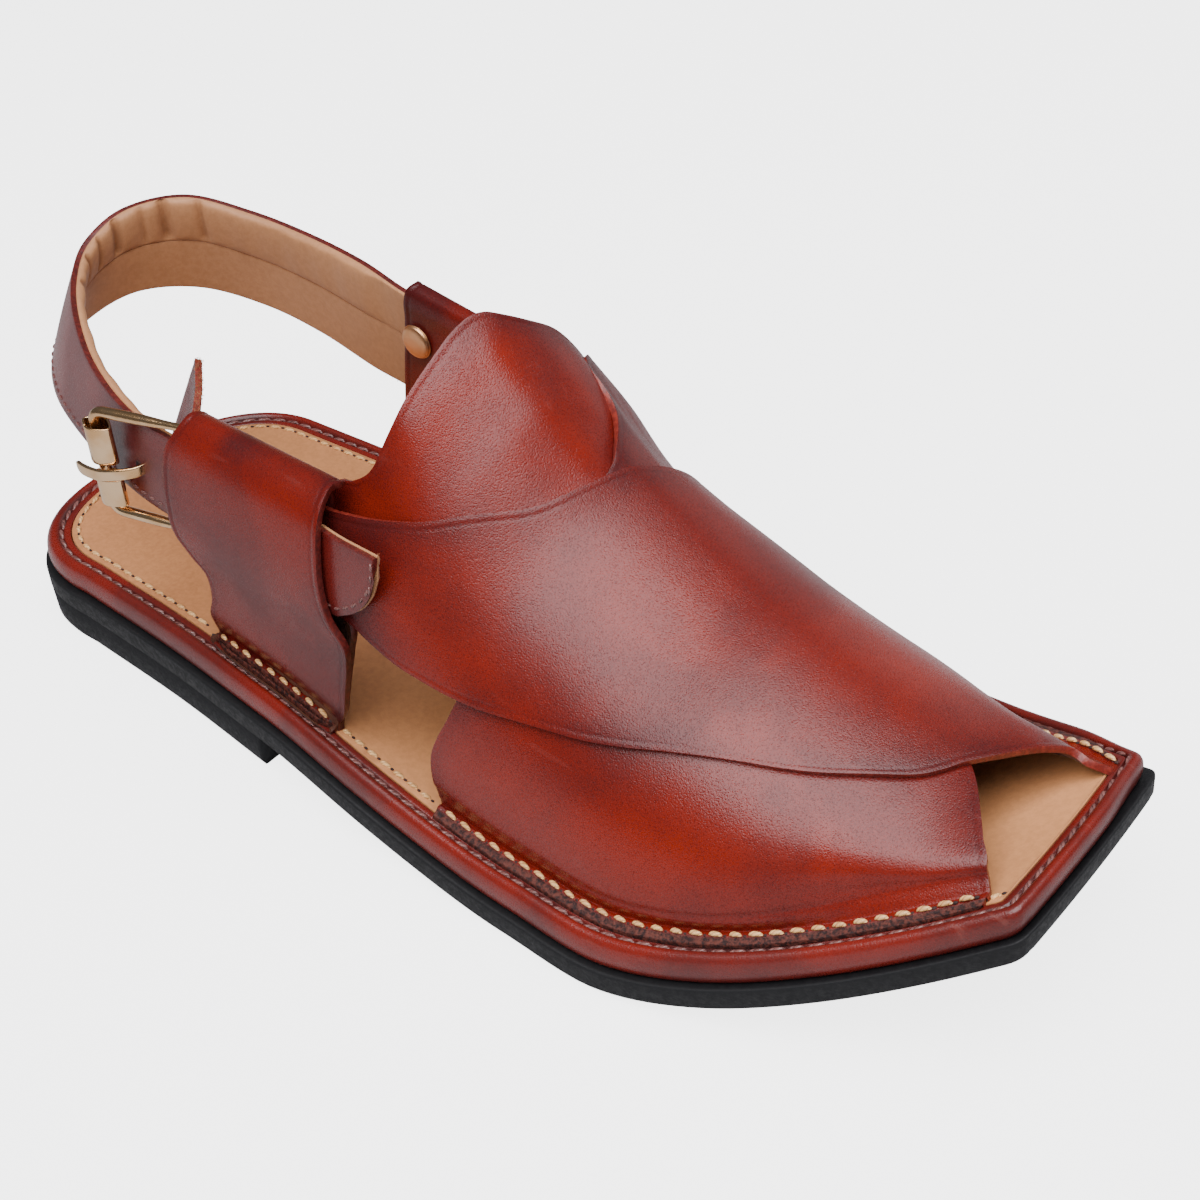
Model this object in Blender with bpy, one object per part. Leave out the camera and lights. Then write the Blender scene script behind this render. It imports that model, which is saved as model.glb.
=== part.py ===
import math

import bmesh
import bpy
import numpy as np

# A crossed-panel leather sandal for the right foot. Working frame in millimetres: X from the heel to
# the toe, Y to the medial side, Z up from the floor. shift_x and shift_y bring the origin to the
# middle of the footprint.
MM = 0.001
SHIFT_X = -142.1
SHIFT_Y = 3.12
GAP = 0.3

# Sole: the underside lifts at the heel seat and at the toe, and touches the floor at the ball.
HEEL_HEIGHT = 8.6
HEEL_BREAST_X = 98.8
WAIST_END_X = 178.0
BALL_END_X = 201.5
TOE_SPRING = 29.6
TOE_SPRING_LENGTH = 84.5
TOE_SPRING_POWER = 1.6
OUTSOLE_THICKNESS = 5.5
HEEL_TAPER = 0.8
TOE_X = 286.4
TOE_BOW = 0.8
TOE_CORNER = 3.0
HEEL_CENTRE_X = 30.0
HEEL_DEPTH = 33.0
HEEL_APEX_Y = -3.0
HEEL_POWER_LATERAL = 2.6
HEEL_POWER_MEDIAL = 2.2

# Outline of the outsole: x, lateral edge y, medial edge y.
OUTLINE = np.array([
    (30.0, -42.4, 42.3),
    (65.0, -45.6, 43.0),
    (100.0, -50.4, 42.0),
    (130.0, -54.4, 43.6),
    (155.0, -56.5, 47.6),
    (180.0, -58.3, 52.0),
    (205.0, -59.4, 53.2),
    (230.0, -54.2, 49.0),
    (250.0, -46.4, 42.6),
    (270.0, -36.6, 35.4),
    (286.5, -27.5, 28.3),
])
SIDE_STATIONS = (30, 42, 54, 66, 78, 89, 98.8, 110, 122, 134, 146, 157, 168, 180, 191, 201.5,
                 211, 221, 231, 241, 251, 261, 270, 278)

# Rand section: inset from the outsole edge, height over the outsole's top face.
RAND = ((2.4, 0.3), (1.6, 1.4), (1.3, 3.0), (1.5, 5.0), (2.1, 6.7), (3.2, 7.6), (4.4, 7.3),
        (5.4, 6.7), (6.8, 6.6), (7.0, 5.2))
INSOLE = ((7.3, 5.5), (7.3, 6.5), (7.6, 6.8))
BORDER_HEIGHT = 6.9

# Last, the form that the upper is stretched over: x, crest height over the base, crest y, fullness of
# the lateral side, fullness of the medial side, tuck of the medial base.
LAST = np.array([
    (60.0, 110.0, 0.0, 0.80, 0.80, 0.0),
    (100.0, 105.0, 0.0, 0.80, 0.80, 0.0),
    (130.0, 88.5, 3.0, 0.80, 0.80, 0.0),
    (150.0, 75.5, 5.0, 0.82, 0.98, 0.3),
    (168.0, 62.5, 5.5, 0.85, 1.23, 0.9),
    (190.0, 52.0, 3.0, 0.85, 1.27, 1.2),
    (215.0, 42.5, -1.0, 0.85, 1.38, 1.9),
    (240.0, 28.0, -2.5, 0.82, 1.26, 2.5),
    (262.0, 14.0, -1.0, 0.80, 1.12, 3.5),
    (284.0, 5.0, 1.0, 0.80, 1.30, 4.8),
])
FOOT_MIDDLE = np.array((110.0, 0.0, 40.0))
LAST_INSET = 9.5
LAST_BASE = 13.0
# The dome stands fuller on its medial shoulder: share of the swell along x, then over the turn.
SWELL = 4.6
SWELL_ALONG = np.array([
    (100.0, 1.0),
    (146.0, 1.0),
    (153.0, 0.8),
    (158.0, 0.44),
    (163.0, 0.2),
    (168.0, 0.04),
    (173.0, 0.0),
    (300.0, 0.0),
])
SWELL_OVER = np.array([
    (0.0, 0.0),
    (42.0, 0.0),
    (58.0, 0.2),
    (72.0, 0.42),
    (86.0, 0.66),
    (104.0, 0.98),
    (116.0, 1.06),
    (126.0, 0.95),
    (138.0, 0.6),
    (150.0, 0.12),
    (156.0, 0.0),
    (180.0, 0.0),
])

# Leather layers over the last: height of the inner and the outer face of each.
UNDER_PANEL = (0.0, 1.6)
TOP_PANEL_OVER = (0.9, 3.2)
TOP_PANEL_FREE = (1.6, 3.2)
OVERLAP_X = (153.0, 164.0)
PANEL_SINK = 0.3
TONGUE_LAYER = (-2.0, -0.4)
# The tongue's wings dip under the panels: turns where the dip fades in, x where it fades out.
TONGUE_DROP = 2.2
LATERAL_WING = (38.0, 60.0)
MEDIAL_WING = (120.0, 142.0)
WING_X = (128.0, 146.0)

# Medial panel, the top layer: rear edge x and turn, front edge x and turn, from the loop to the base.
# The turn runs in degrees over the last, 0 at the lateral base and 180 at the medial base.
TOP_PANEL = (
    (123.0, 33.0, 131.0, 19.0),
    (133.0, 38.0, 145.0, 20.0),
    (145.0, 47.0, 159.0, 24.0),
    (156.0, 60.0, 176.0, 31.0),
    (161.0, 68.0, 191.0, 37.0),
    (164.0, 77.0, 208.0, 46.0),
    (166.0, 85.0, 223.0, 53.0),
    (167.5, 92.0, 237.0, 60.0),
    (169.2, 99.0, 252.0, 73.0),
    (170.5, 110.0, 258.0, 87.0),
    (170.5, 120.0, 263.0, 100.0),
    (169.0, 130.0, 268.0, 116.0),
    (169.0, 141.0, 271.0, 128.0),
    (168.0, 154.0, 274.0, 148.0),
    (165.0, 167.0, 276.0, 165.0),
    (164.0, 180.0, 277.0, 180.0),
)
# Its end through the lateral loop: top x, y, z and bottom x, y, z of the outer face.
TOP_PANEL_END = (
    (64.0, -19.8, 84.4, 54.5, -27.4, 57.0),
    (70.8, -27.4, 82.2, 66.5, -32.3, 56.6),
    (78.5, -35.3, 79.0, 78.0, -36.0, 55.6),
    (87.0, -35.3, 78.2, 88.0, -36.3, 55.0),
    (100.0, -37.6, 78.0, 103.0, -40.4, 54.6),
    (112.0, -38.8, 77.3, 117.5, -43.6, 54.2),
)
# Lateral panel, the layer below: the same columns, from the lateral base to the medial loop.
UNDER_PANEL_ROWS = (
    (155.0, 0.0, 275.5, 0.0),
    (154.0, 8.0, 275.3, 10.0),
    (158.0, 17.0, 274.9, 21.0),
    (161.0, 26.0, 273.4, 38.0),
    (162.5, 40.0, 271.0, 50.0),
    (163.5, 55.0, 268.3, 62.0),
    (164.8, 70.0, 264.3, 76.0),
    (166.0, 84.0, 259.5, 88.0),
    (163.0, 95.0, 251.5, 100.0),
    (158.0, 106.0, 240.0, 114.0),
    (153.5, 111.0, 224.0, 125.0),
    (148.5, 115.0, 205.0, 134.0),
    (144.5, 120.5, 188.0, 143.0),
    (141.5, 127.5, 174.0, 152.0),
    (138.0, 135.0, 163.0, 159.5),
    (134.0, 142.0, 152.0, 165.0),
    (128.0, 149.0, 139.0, 168.0),
    (121.0, 153.0, 127.0, 169.0),
)
UNDER_PANEL_END = (
    (109.0, 33.2, 68.8, 112.0, 34.6, 43.6),
    (97.0, 34.4, 69.4, 98.0, 35.2, 44.6),
)
# Tongue: turn over the last, rear edge x, hidden front edge x.
TONGUE = (
    (27.0, 139.5, 150.0),
    (30.0, 134.5, 156.0),
    (33.0, 130.5, 161.0),
    (36.0, 121.5, 164.0),
    (38.5, 125.5, 167.0),
    (44.0, 129.5, 174.0),
    (53.0, 131.6, 179.0),
    (62.0, 132.4, 182.0),
    (72.0, 133.0, 184.0),
    (81.0, 133.0, 185.0),
    (88.0, 133.7, 185.0),
    (96.0, 137.0, 185.0),
    (104.0, 139.5, 184.0),
    (114.0, 140.7, 182.0),
    (122.0, 142.0, 180.0),
    (131.0, 142.5, 176.0),
    (140.0, 141.0, 170.0),
    (146.0, 138.0, 162.0),
    (149.0, 135.0, 154.0),
)
# Each panel's lower edge, laid flat on the border of the sole.
FOOT_HEIGHT = 2.3
FOOT_INSETS = (5.9, 9.2)
LATERAL_FOOT_X = (154.6, 275.6)
MEDIAL_FOOT_X = (163.6, 277.0)

# Folded loops: z, x, outer y, inner y at the rear end, then the same at the front end, from the base
# to the fold. The last row is the fold's crown.
LOOP_WALL = 1.7
CAVITY_ROW = 3
FREE_ROW = 7.0
LATERAL_LOOP = (
    (21.3, 76.3, -40.8, -35.6, 18.8, 127.0, -48.2, -43.4),
    (23.6, 76.3, -40.8, -35.5, 21.1, 127.0, -48.2, -43.3),
    (24.6, 76.3, -39.6, -35.4, 22.2, 126.8, -47.2, -43.2),
    (30.2, 78.2, -40.6, -34.2, 29.0, 128.0, -47.4, -42.0),
    (37.2, 81.4, -41.6, -33.0, 36.5, 130.0, -47.7, -41.8),
    (44.6, 82.4, -42.6, -32.3, 44.0, 132.0, -48.0, -41.6),
    (48.9, 79.2, -43.2, -31.4, 50.8, 133.3, -48.9, -41.3),
    (55.0, 75.2, -43.7, -30.4, 57.0, 130.0, -49.4, -40.8),
    (64.2, 75.0, -43.7, -30.0, 65.7, 128.8, -49.1, -38.4),
    (73.2, 76.1, -43.1, -30.0, 75.0, 128.6, -47.7, -35.2),
    (78.0, 77.4, -42.2, -30.4, 79.8, 128.3, -46.0, -34.4),
    (82.1, 79.6, -40.1, -31.8, 83.0, 127.4, -42.9, -34.9),
    (84.8, 80.8, -36.4, -36.4, 84.6, 126.4, -38.6, -38.6),
)
MEDIAL_LOOP = (
    (21.3, 71.8, 36.6, 31.6, 18.4, 131.2, 38.0, 32.8),
    (23.6, 72.1, 36.6, 31.5, 20.8, 131.2, 38.0, 32.7),
    (24.6, 72.3, 35.8, 31.4, 22.4, 131.2, 36.9, 32.6),
    (31.0, 73.3, 36.5, 30.9, 30.0, 131.4, 37.1, 32.0),
    (38.0, 74.5, 37.6, 30.6, 38.3, 130.6, 37.2, 31.6),
    (43.0, 75.3, 38.4, 30.5, 44.0, 126.0, 37.2, 31.0),
    (50.4, 76.6, 38.9, 30.4, 51.0, 123.6, 37.0, 30.2),
    (59.0, 78.0, 39.0, 30.3, 59.0, 121.9, 36.7, 29.2),
    (67.5, 79.5, 38.7, 30.2, 67.0, 121.2, 35.8, 28.2),
    (75.5, 80.8, 37.8, 30.2, 73.0, 121.6, 34.8, 27.5),
    (80.0, 81.5, 36.6, 29.8, 77.5, 122.4, 33.2, 27.4),
    (83.6, 82.3, 35.0, 30.6, 80.0, 123.2, 31.6, 28.0),
    (84.8, 83.4, 32.9, 32.9, 80.8, 123.6, 29.8, 29.8),
)
LOOP_COLUMNS = 7

# Heel strap: top x, y, z and bottom x, y, z of its outer face, from the medial loop round the heel.
STRAP_THICKNESS = 2.8
STRAP_IN_LOOP = 1.9
LATERAL_TIGHT_X = (56.0, 74.0)
MEDIAL_TIGHT_X = (62.0, 74.0)
STRAP = (
    (93.0, 33.1, 79.2, 93.0, 35.4, 49.8),
    (78.0, 34.2, 80.8, 78.0, 36.6, 50.0),
    (62.0, 36.6, 82.6, 60.0, 38.6, 51.6),
    (44.0, 37.1, 84.4, 42.0, 39.0, 55.5),
    (27.0, 33.8, 87.6, 25.0, 36.5, 59.5),
    (13.0, 25.5, 92.0, 10.0, 28.0, 64.5),
    (5.2, 12.0, 92.2, 1.5, 13.0, 68.0),
    (5.2, -1.0, 89.2, -0.8, -2.5, 67.0),
    (12.0, -11.5, 86.8, 4.6, -16.6, 65.6),
    (25.0, -22.5, 85.0, 18.4, -28.2, 63.4),
    (42.0, -32.5, 82.0, 38.0, -35.8, 61.0),
    (60.0, -38.3, 78.8, 58.0, -39.9, 57.4),
    (77.0, -39.6, 77.6, 77.0, -41.5, 55.8),
    (95.0, -41.1, 77.4, 95.0, -43.3, 55.8),
    (113.0, -42.8, 77.2, 113.0, -45.6, 56.6),
    (128.4, -44.7, 76.8, 129.0, -47.3, 57.4),
    (133.0, -45.0, 76.5, 133.0, -47.5, 58.6),
    (137.5, -45.1, 76.3, 137.5, -47.1, 61.4),
    (140.8, -45.1, 76.1, 140.8, -46.5, 65.6),
    (142.6, -45.1, 76.0, 142.6, -45.7, 70.5),
)
HOLE_RADIUS = 1.9
HOLE_X = 64.5
HOLE_Z = 65.9
HOLE_Y = (-32.0, -46.0)

# Buckle: corners of the bent wire frame, sleeves on its rear bar, prong.
WIRE_RADIUS = 1.3
HINGE_RADIUS = 0.95
HINGE_X = (66.0, 76.0)
CORNER_RADIUS = 3.4
FRAME = ((54.5, -43.2, 52.6), (54.5, -43.0, 79.8), (84.0, -36.6, 80.9), (84.0, -37.8, 53.0))
SLEEVE_RADII = (4.1, 2.6)
SLEEVE_WALL = 0.6
SLEEVE_SEGMENTS = 20
SLEEVE_X = 55.1
SLEEVE_Y = -43.1
SLEEVE_UPPER = (66.8, 76.6)
SLEEVE_LOWER = (55.2, 62.4)
PRONG = ((47.8, -45.8, 64.3), (51.2, -46.6, 64.3), (56.2, -46.4, 64.6), (60.4, -44.7, 65.2),
         (63.4, -42.6, 65.7), (64.5, -40.6, 65.9), (64.6, -38.4, 65.9))
PRONG_WIDTH = 2.8
PRONG_THICKNESS = 1.2

RIVET = (84.9, 70.5)
RIVET_RADIUS = 4.3
RIVET_HEIGHT = 1.1
RIVET_Y = 29.2


def smooth_between(low, high, x):
    t = np.clip((x - low) / (high - low), 0.0, 1.0)
    return t * t * (3.0 - 2.0 * t)


def follow(keys, values, at):
    """Cubic Hermite curve through a table, one column or several."""
    keys = np.asarray(keys, float)
    values = np.asarray(values, float)
    at = np.clip(np.asarray(at, float), keys[0], keys[-1])
    step = np.diff(keys)
    if values.ndim > 1:
        step = step[:, None]
    slope = np.diff(values, axis=0) / step
    tangent = np.empty_like(values)
    tangent[0] = slope[0]
    tangent[-1] = slope[-1]
    tangent[1:-1] = (slope[:-1] * step[1:] + slope[1:] * step[:-1]) / (step[1:] + step[:-1])
    i = np.clip(np.searchsorted(keys, at, side="right") - 1, 0, len(keys) - 2)
    h = keys[i + 1] - keys[i]
    t = (at - keys[i]) / h
    if values.ndim > 1:
        h = h[..., None]
        t = t[..., None]
    return ((2 * t**3 - 3 * t**2 + 1) * values[i] + (t**3 - 2 * t**2 + t) * h * tangent[i]
            + (3 * t**2 - 2 * t**3) * values[i + 1] + (t**3 - t**2) * h * tangent[i + 1])


def rise(x):
    """Height of the outsole's underside over the floor."""
    heel = HEEL_HEIGHT * (1.0 - smooth_between(HEEL_BREAST_X, WAIST_END_X, x))
    toe = np.clip((x - BALL_END_X) / TOE_SPRING_LENGTH, 0.0, None)
    return heel + TOE_SPRING * toe**TOE_SPRING_POWER


def edge(x, side):
    return follow(OUTLINE[:, 0], OUTLINE[:, 1 if side < 0 else 2], x)


def half_ring(inset, side):
    """Plan points of one side of the sole, from the heel apex to the middle of the toe."""
    power = HEEL_POWER_LATERAL if side < 0 else HEEL_POWER_MEDIAL
    reach = abs(edge(HEEL_CENTRE_X, side) - HEEL_APEX_Y) - inset
    points = []
    for angle in np.radians((0, 7, 15, 24, 34, 45, 56, 67, 78)):
        x = HEEL_CENTRE_X - (HEEL_DEPTH - inset) * math.cos(angle) ** (2.0 / power)
        y = HEEL_APEX_Y + side * reach * math.sin(angle) ** (2.0 / power)
        points.append((x, y))
    front = TOE_X - inset
    span = (front - HEEL_CENTRE_X) / (TOE_X - HEEL_CENTRE_X)

    def inner(x):
        slope = (edge(x + 0.5, side) - edge(x - 0.5, side)) if x < TOE_X - 1 else (
            edge(x, side) - edge(x - 1.0, side))
        return edge(x, side) - side * inset * math.sqrt(1.0 + slope * slope)

    for station in SIDE_STATIONS:
        x = HEEL_CENTRE_X + (station - HEEL_CENTRE_X) * span
        points.append((x, inner(x)))
    corner = np.array((front, inner(front)))
    back = np.array((front - 4.0, inner(front - 4.0)))
    along = (corner - back) / np.linalg.norm(corner - back)
    across = np.array((0.0, -float(side)))
    radius = TOE_CORNER * max(0.35, 1.0 - inset / 10.0)
    points.append(tuple(corner - radius * along))
    points.append(tuple(corner + 0.29 * radius * (across - along)))
    points.append(tuple(corner + radius * across))
    middle = 0.5
    half = abs(corner[1] - middle)
    for share in (0.6, 0.3, 0.0):
        points.append((front + TOE_BOW * (1.0 - share**2), middle + side * half * share))
    return np.array(points)


def ring(inset, height, level=None):
    """Two half rings as 3D points; height is over the outsole's top face, level is a fixed z."""
    halves = []
    for side in (-1, 1):
        plan = half_ring(inset, side)
        z = rise(plan[:, 0]) + OUTSOLE_THICKNESS + height
        if level is not None:
            z = np.full(len(plan), float(level))
        halves.append(np.column_stack([plan, z]))
    return halves


def add_material(obj, color, roughness, metallic=0.0):
    material = bpy.data.materials.new(obj.name + "_finish")
    material.use_nodes = True
    shader = material.node_tree.nodes["Principled BSDF"]
    shader.inputs["Base Color"].default_value = (*color, 1.0)
    shader.inputs["Roughness"].default_value = roughness
    shader.inputs["Metallic"].default_value = metallic
    obj.data.materials.append(material)


def make(name, points, faces, smooth=True):
    """One closed mesh object from points in the working frame."""
    mesh = bpy.data.meshes.new(name)
    placed = (np.asarray(points, float) + (SHIFT_X, SHIFT_Y, 0.0)) * MM
    mesh.from_pydata(placed.tolist(), [], faces)
    work = bmesh.new()
    work.from_mesh(mesh)
    bmesh.ops.remove_doubles(work, verts=work.verts, dist=1e-6)
    bmesh.ops.recalc_face_normals(work, faces=work.faces)
    if work.calc_volume(signed=True) < 0:
        bmesh.ops.reverse_faces(work, faces=work.faces)
    for face in work.faces:
        face.smooth = smooth
    for line in work.edges:
        line.smooth = line.calc_face_angle(0.0) < math.radians(38.0)
    work.to_mesh(mesh)
    work.free()
    obj = bpy.data.objects.new(name, mesh)
    bpy.context.scene.collection.objects.link(obj)
    return obj


def cap(lateral, medial):
    """Strips from the lateral points to the medial ones, closing a ring at both tips."""
    faces = [(lateral[0], lateral[1], medial[1])]
    for i in range(1, len(lateral) - 2):
        faces.append((lateral[i], lateral[i + 1], medial[i + 1], medial[i]))
    faces.append((lateral[-2], lateral[-1], medial[-2]))
    return faces


def stack(name, rings):
    """A solid from rings laid on one another, closed below and above."""
    points = []
    sides = []
    for lateral, medial in rings:
        first = len(points)
        count = len(lateral)
        points.extend(lateral)
        left = list(range(first, first + count))
        points.extend(medial[1:-1])
        right = [left[0]] + list(range(first + count, first + 2 * count - 2)) + [left[-1]]
        sides.append((left, right))
    faces = cap(*sides[0]) + cap(*sides[-1])
    for (low_l, low_r), (high_l, high_r) in zip(sides, sides[1:]):
        for low, high in ((low_l, high_l), (low_r, high_r)):
            for i in range(len(low) - 1):
                faces.append((low[i], low[i + 1], high[i + 1], high[i]))
    return make(name, points, faces)


def build_outsole():
    """Rubber sole with its heel block, one solid with a vertical heel breast."""
    top = ring(0.0, 0.0)
    under = ring(0.0, -OUTSOLE_THICKNESS)
    ground = ring(HEEL_TAPER, 0.0, level=0.0)
    last = 9 + SIDE_STATIONS.index(HEEL_BREAST_X)
    for half in ground:
        half[last, 0] = HEEL_BREAST_X
    points = []
    index = {}
    for label, halves in (("top", top), ("under", under), ("ground", ground)):
        for side, half in zip("LM", halves):
            count = last + 1 if label == "ground" else len(half)
            for i in range(count):
                if side == "M" and i in (0, len(half) - 1):
                    index[label, "M", i] = index[label, "L", i]
                    continue
                index[label, side, i] = len(points)
                points.append(half[i])
    total = len(top[0])
    faces = []
    for side in "LM":
        for i in range(total - 1):
            faces.append([index[a, side, j] for a, j in
                          (("under", i), ("under", i + 1), ("top", i + 1), ("top", i))])
            if i < last:
                faces.append([index[a, side, j] for a, j in
                              (("ground", i), ("ground", i + 1), ("under", i + 1), ("under", i))])
    for label, start, stop in (("top", 0, total - 1), ("under", last, total - 1), ("ground", 0, last)):
        for i in range(start, stop):
            loop = [index[label, "L", i], index[label, "L", i + 1],
                    index[label, "M", i + 1], index[label, "M", i]]
            faces.append(list(dict.fromkeys(loop)))
    faces.append([index["under", "L", last], index["under", "M", last],
                  index["ground", "M", last], index["ground", "L", last]])
    obj = make("outsole", points, faces)
    add_material(obj, (0.018, 0.018, 0.02), 0.62)


def last_point(x, turn):
    """A point of the last: x along the foot, turn in radians over it."""
    height = follow(LAST[:, 0], LAST[:, 1], x)
    middle = follow(LAST[:, 0], LAST[:, 2], x)
    share = np.cos(turn)
    fullness = np.where(share > 0, follow(LAST[:, 0], LAST[:, 3], x), follow(LAST[:, 0], LAST[:, 4], x))
    lateral = edge(x, -1) + LAST_INSET
    medial = edge(x, 1) - LAST_INSET - follow(LAST[:, 0], LAST[:, 5], x)
    y = np.where(share > 0, middle - (middle - lateral) * share, middle - (medial - middle) * share)
    z = rise(x) + LAST_BASE + height * np.clip(np.sin(turn), 0.0, 1.0) ** fullness
    swell = SWELL * follow(SWELL_ALONG[:, 0], SWELL_ALONG[:, 1], x)
    swell = swell * follow(SWELL_OVER[:, 0], SWELL_OVER[:, 1], np.degrees(turn))
    return np.stack([np.broadcast_to(x, y.shape), y - swell * share, z + swell * np.sin(turn)], axis=-1)


def outward(grid):
    """Unit normals of a grid of points, pointing away from the foot."""
    normal = np.cross(np.gradient(grid, axis=0), np.gradient(grid, axis=1))
    normal /= np.linalg.norm(normal, axis=-1, keepdims=True)
    return normal if np.sum(normal * (grid - FOOT_MIDDLE)) > 0 else -normal


def shell(name, grid, inner, outer):
    """A sheet of leather: the grid moved out to two faces, closed round its rim."""
    normal = outward(grid)
    faces_out = grid + normal * np.asarray(outer)[..., None]
    faces_in = grid + normal * np.asarray(inner)[..., None]
    rows, columns = grid.shape[:2]
    points = np.concatenate([faces_in.reshape(-1, 3), faces_out.reshape(-1, 3)])
    far = rows * columns

    def at(i, j, side):
        return side * far + i * columns + j

    faces = []
    for side in (0, 1):
        for i in range(rows - 1):
            for j in range(columns - 1):
                faces.append((at(i, j, side), at(i + 1, j, side),
                              at(i + 1, j + 1, side), at(i, j + 1, side)))
    for i in range(rows - 1):
        for j in (0, columns - 1):
            faces.append((at(i, j, 0), at(i + 1, j, 0), at(i + 1, j, 1), at(i, j, 1)))
    for j in range(columns - 1):
        for i in (0, rows - 1):
            faces.append((at(i, j, 0), at(i, j + 1, 0), at(i, j + 1, 1), at(i, j, 1)))
    return make(name, points, faces)


def refine(rows, per_row):
    """Rows of a table with more of them between, along a smooth curve."""
    rows = np.asarray(rows, float)
    keys = np.arange(len(rows))
    at = np.linspace(0, len(rows) - 1, (len(rows) - 1) * per_row + 1)
    return follow(keys, rows, at)


def panel_grid(rows, columns, per_row):
    table = refine(rows, per_row)
    share = np.linspace(0.0, 1.0, columns)[None, :]
    x = table[:, 0:1] * (1 - share) + table[:, 2:3] * share
    turn = np.radians(table[:, 1:2] * (1 - share) + table[:, 3:4] * share)
    return last_point(x, turn)


def band_grid(rows, columns, per_row):
    table = refine(rows, per_row)
    share = np.linspace(0.0, 1.0, columns)[None, :, None]
    return table[:, None, 0:3] * (1 - share) + table[:, None, 3:6] * share


def joined_grid(panel, end, outer, at_start):
    """A panel on the last with its free end added; the end's rows give its outer face."""
    columns = panel.shape[1]
    rows = np.asarray(end, float)
    share = np.linspace(0.0, 1.0, columns)[None, :, None]
    rows = rows[:, None, 0:3] * (1 - share) + rows[:, None, 3:6] * share
    pad = np.concatenate([rows, panel[:2]]) if at_start else np.concatenate([panel[-2:], rows])
    normal = outward(pad)
    rows = rows - outer * (normal[: len(rows)] if at_start else normal[2:])
    whole = np.concatenate([rows, panel]) if at_start else np.concatenate([panel, rows])
    # More rows where the free end bends.
    count = len(rows) + 3
    if at_start:
        at = np.linspace(0, len(rows), 3 * len(rows) + 1)
        bend = follow(np.arange(count), whole[:count].reshape(count, -1), at)
        return np.concatenate([bend.reshape(-1, columns, 3), whole[len(rows) + 1:]])
    at = np.linspace(2, count - 1, 3 * len(rows) + 1)
    bend = follow(np.arange(count), whole[-count:].reshape(count, -1), at)
    return np.concatenate([whole[: len(panel) - 1], bend.reshape(-1, columns, 3)])


def foot_strip(name, side, ends):
    """The panel's edge that lies flat on the border of the sole."""
    xs = np.linspace(*ends, 22)
    points = []
    for x in xs:
        slope = edge(min(x + 1.0, TOE_X), side) - edge(x - 1.0, side)
        lean = math.sqrt(1.0 + (slope / 2.0) ** 2)
        outer, inner = FOOT_INSETS
        if side > 0:
            inner += float(follow(LAST[:, 0], LAST[:, 5], x))
        for inset, height in ((outer, BORDER_HEIGHT), (inner, BORDER_HEIGHT),
                              (inner, BORDER_HEIGHT + FOOT_HEIGHT), (outer, BORDER_HEIGHT + FOOT_HEIGHT)):
            y = edge(x, side) - side * inset * lean
            points.append((x, y, rise(x) + OUTSOLE_THICKNESS + height + GAP))
    faces = [(0, 1, 2, 3), tuple(range(len(points) - 4, len(points)))]
    for i in range(len(xs) - 1):
        for j in range(4):
            k = (j + 1) % 4
            faces.append((4 * i + j, 4 * i + k, 4 * i + 4 + k, 4 * i + 4 + j))
    return make(name, points, faces)


def combine(target, other, operation):
    """Adds another closed mesh to the target, or cuts it away, with a Boolean."""
    modifier = target.modifiers.new(other.name, "BOOLEAN")
    modifier.operation = operation
    modifier.solver = "EXACT"
    modifier.object = other
    other.hide_render = True
    other.display_type = "WIRE"


def build_upper():
    """Both crossed panels and the edges stitched to the sole, one solid."""
    grid = joined_grid(panel_grid(UNDER_PANEL_ROWS, 13, 2), UNDER_PANEL_END, UNDER_PANEL[1], at_start=False)
    grid[0, :, 2] -= PANEL_SINK
    inner = np.full(grid.shape[:2], UNDER_PANEL[0])
    outer = np.full(grid.shape[:2], UNDER_PANEL[1])
    upper = shell("upper", grid, inner, outer)
    grid = joined_grid(panel_grid(TOP_PANEL, 13, 2), TOP_PANEL_END, TOP_PANEL_FREE[1], at_start=True)
    grid[-1, :, 2] -= PANEL_SINK
    near = smooth_between(*OVERLAP_X, grid[..., 0])
    inner = TOP_PANEL_FREE[0] * (1 - near) + TOP_PANEL_OVER[0] * near
    outer = np.full(grid.shape[:2], TOP_PANEL_OVER[1])
    combine(upper, shell("top_panel", grid, inner, outer), "UNION")
    combine(upper, foot_strip("lateral_foot", -1, LATERAL_FOOT_X), "UNION")
    combine(upper, foot_strip("medial_foot", 1, MEDIAL_FOOT_X), "UNION")
    add_material(upper, (0.3, 0.035, 0.02), 0.38)


def build_tongue():
    """The domed flap over the instep, with its rear edge free and its wings under the panels."""
    table = refine(TONGUE, 2)
    share = np.linspace(0.0, 1.0, 7)[None, :]
    x = table[:, 1:2] * (1 - share) + table[:, 2:3] * share
    turn = np.radians(np.broadcast_to(table[:, 0:1], x.shape))
    grid = last_point(x, turn)
    degrees = np.degrees(turn)
    low = 1.0 - smooth_between(*LATERAL_WING, degrees) + smooth_between(*MEDIAL_WING, degrees)
    drop = TONGUE_DROP * low * (1.0 - smooth_between(*WING_X, x))
    tongue = shell("tongue", grid, TONGUE_LAYER[0] - drop, TONGUE_LAYER[1] - drop)
    add_material(tongue, (0.28, 0.033, 0.02), 0.38)


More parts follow.
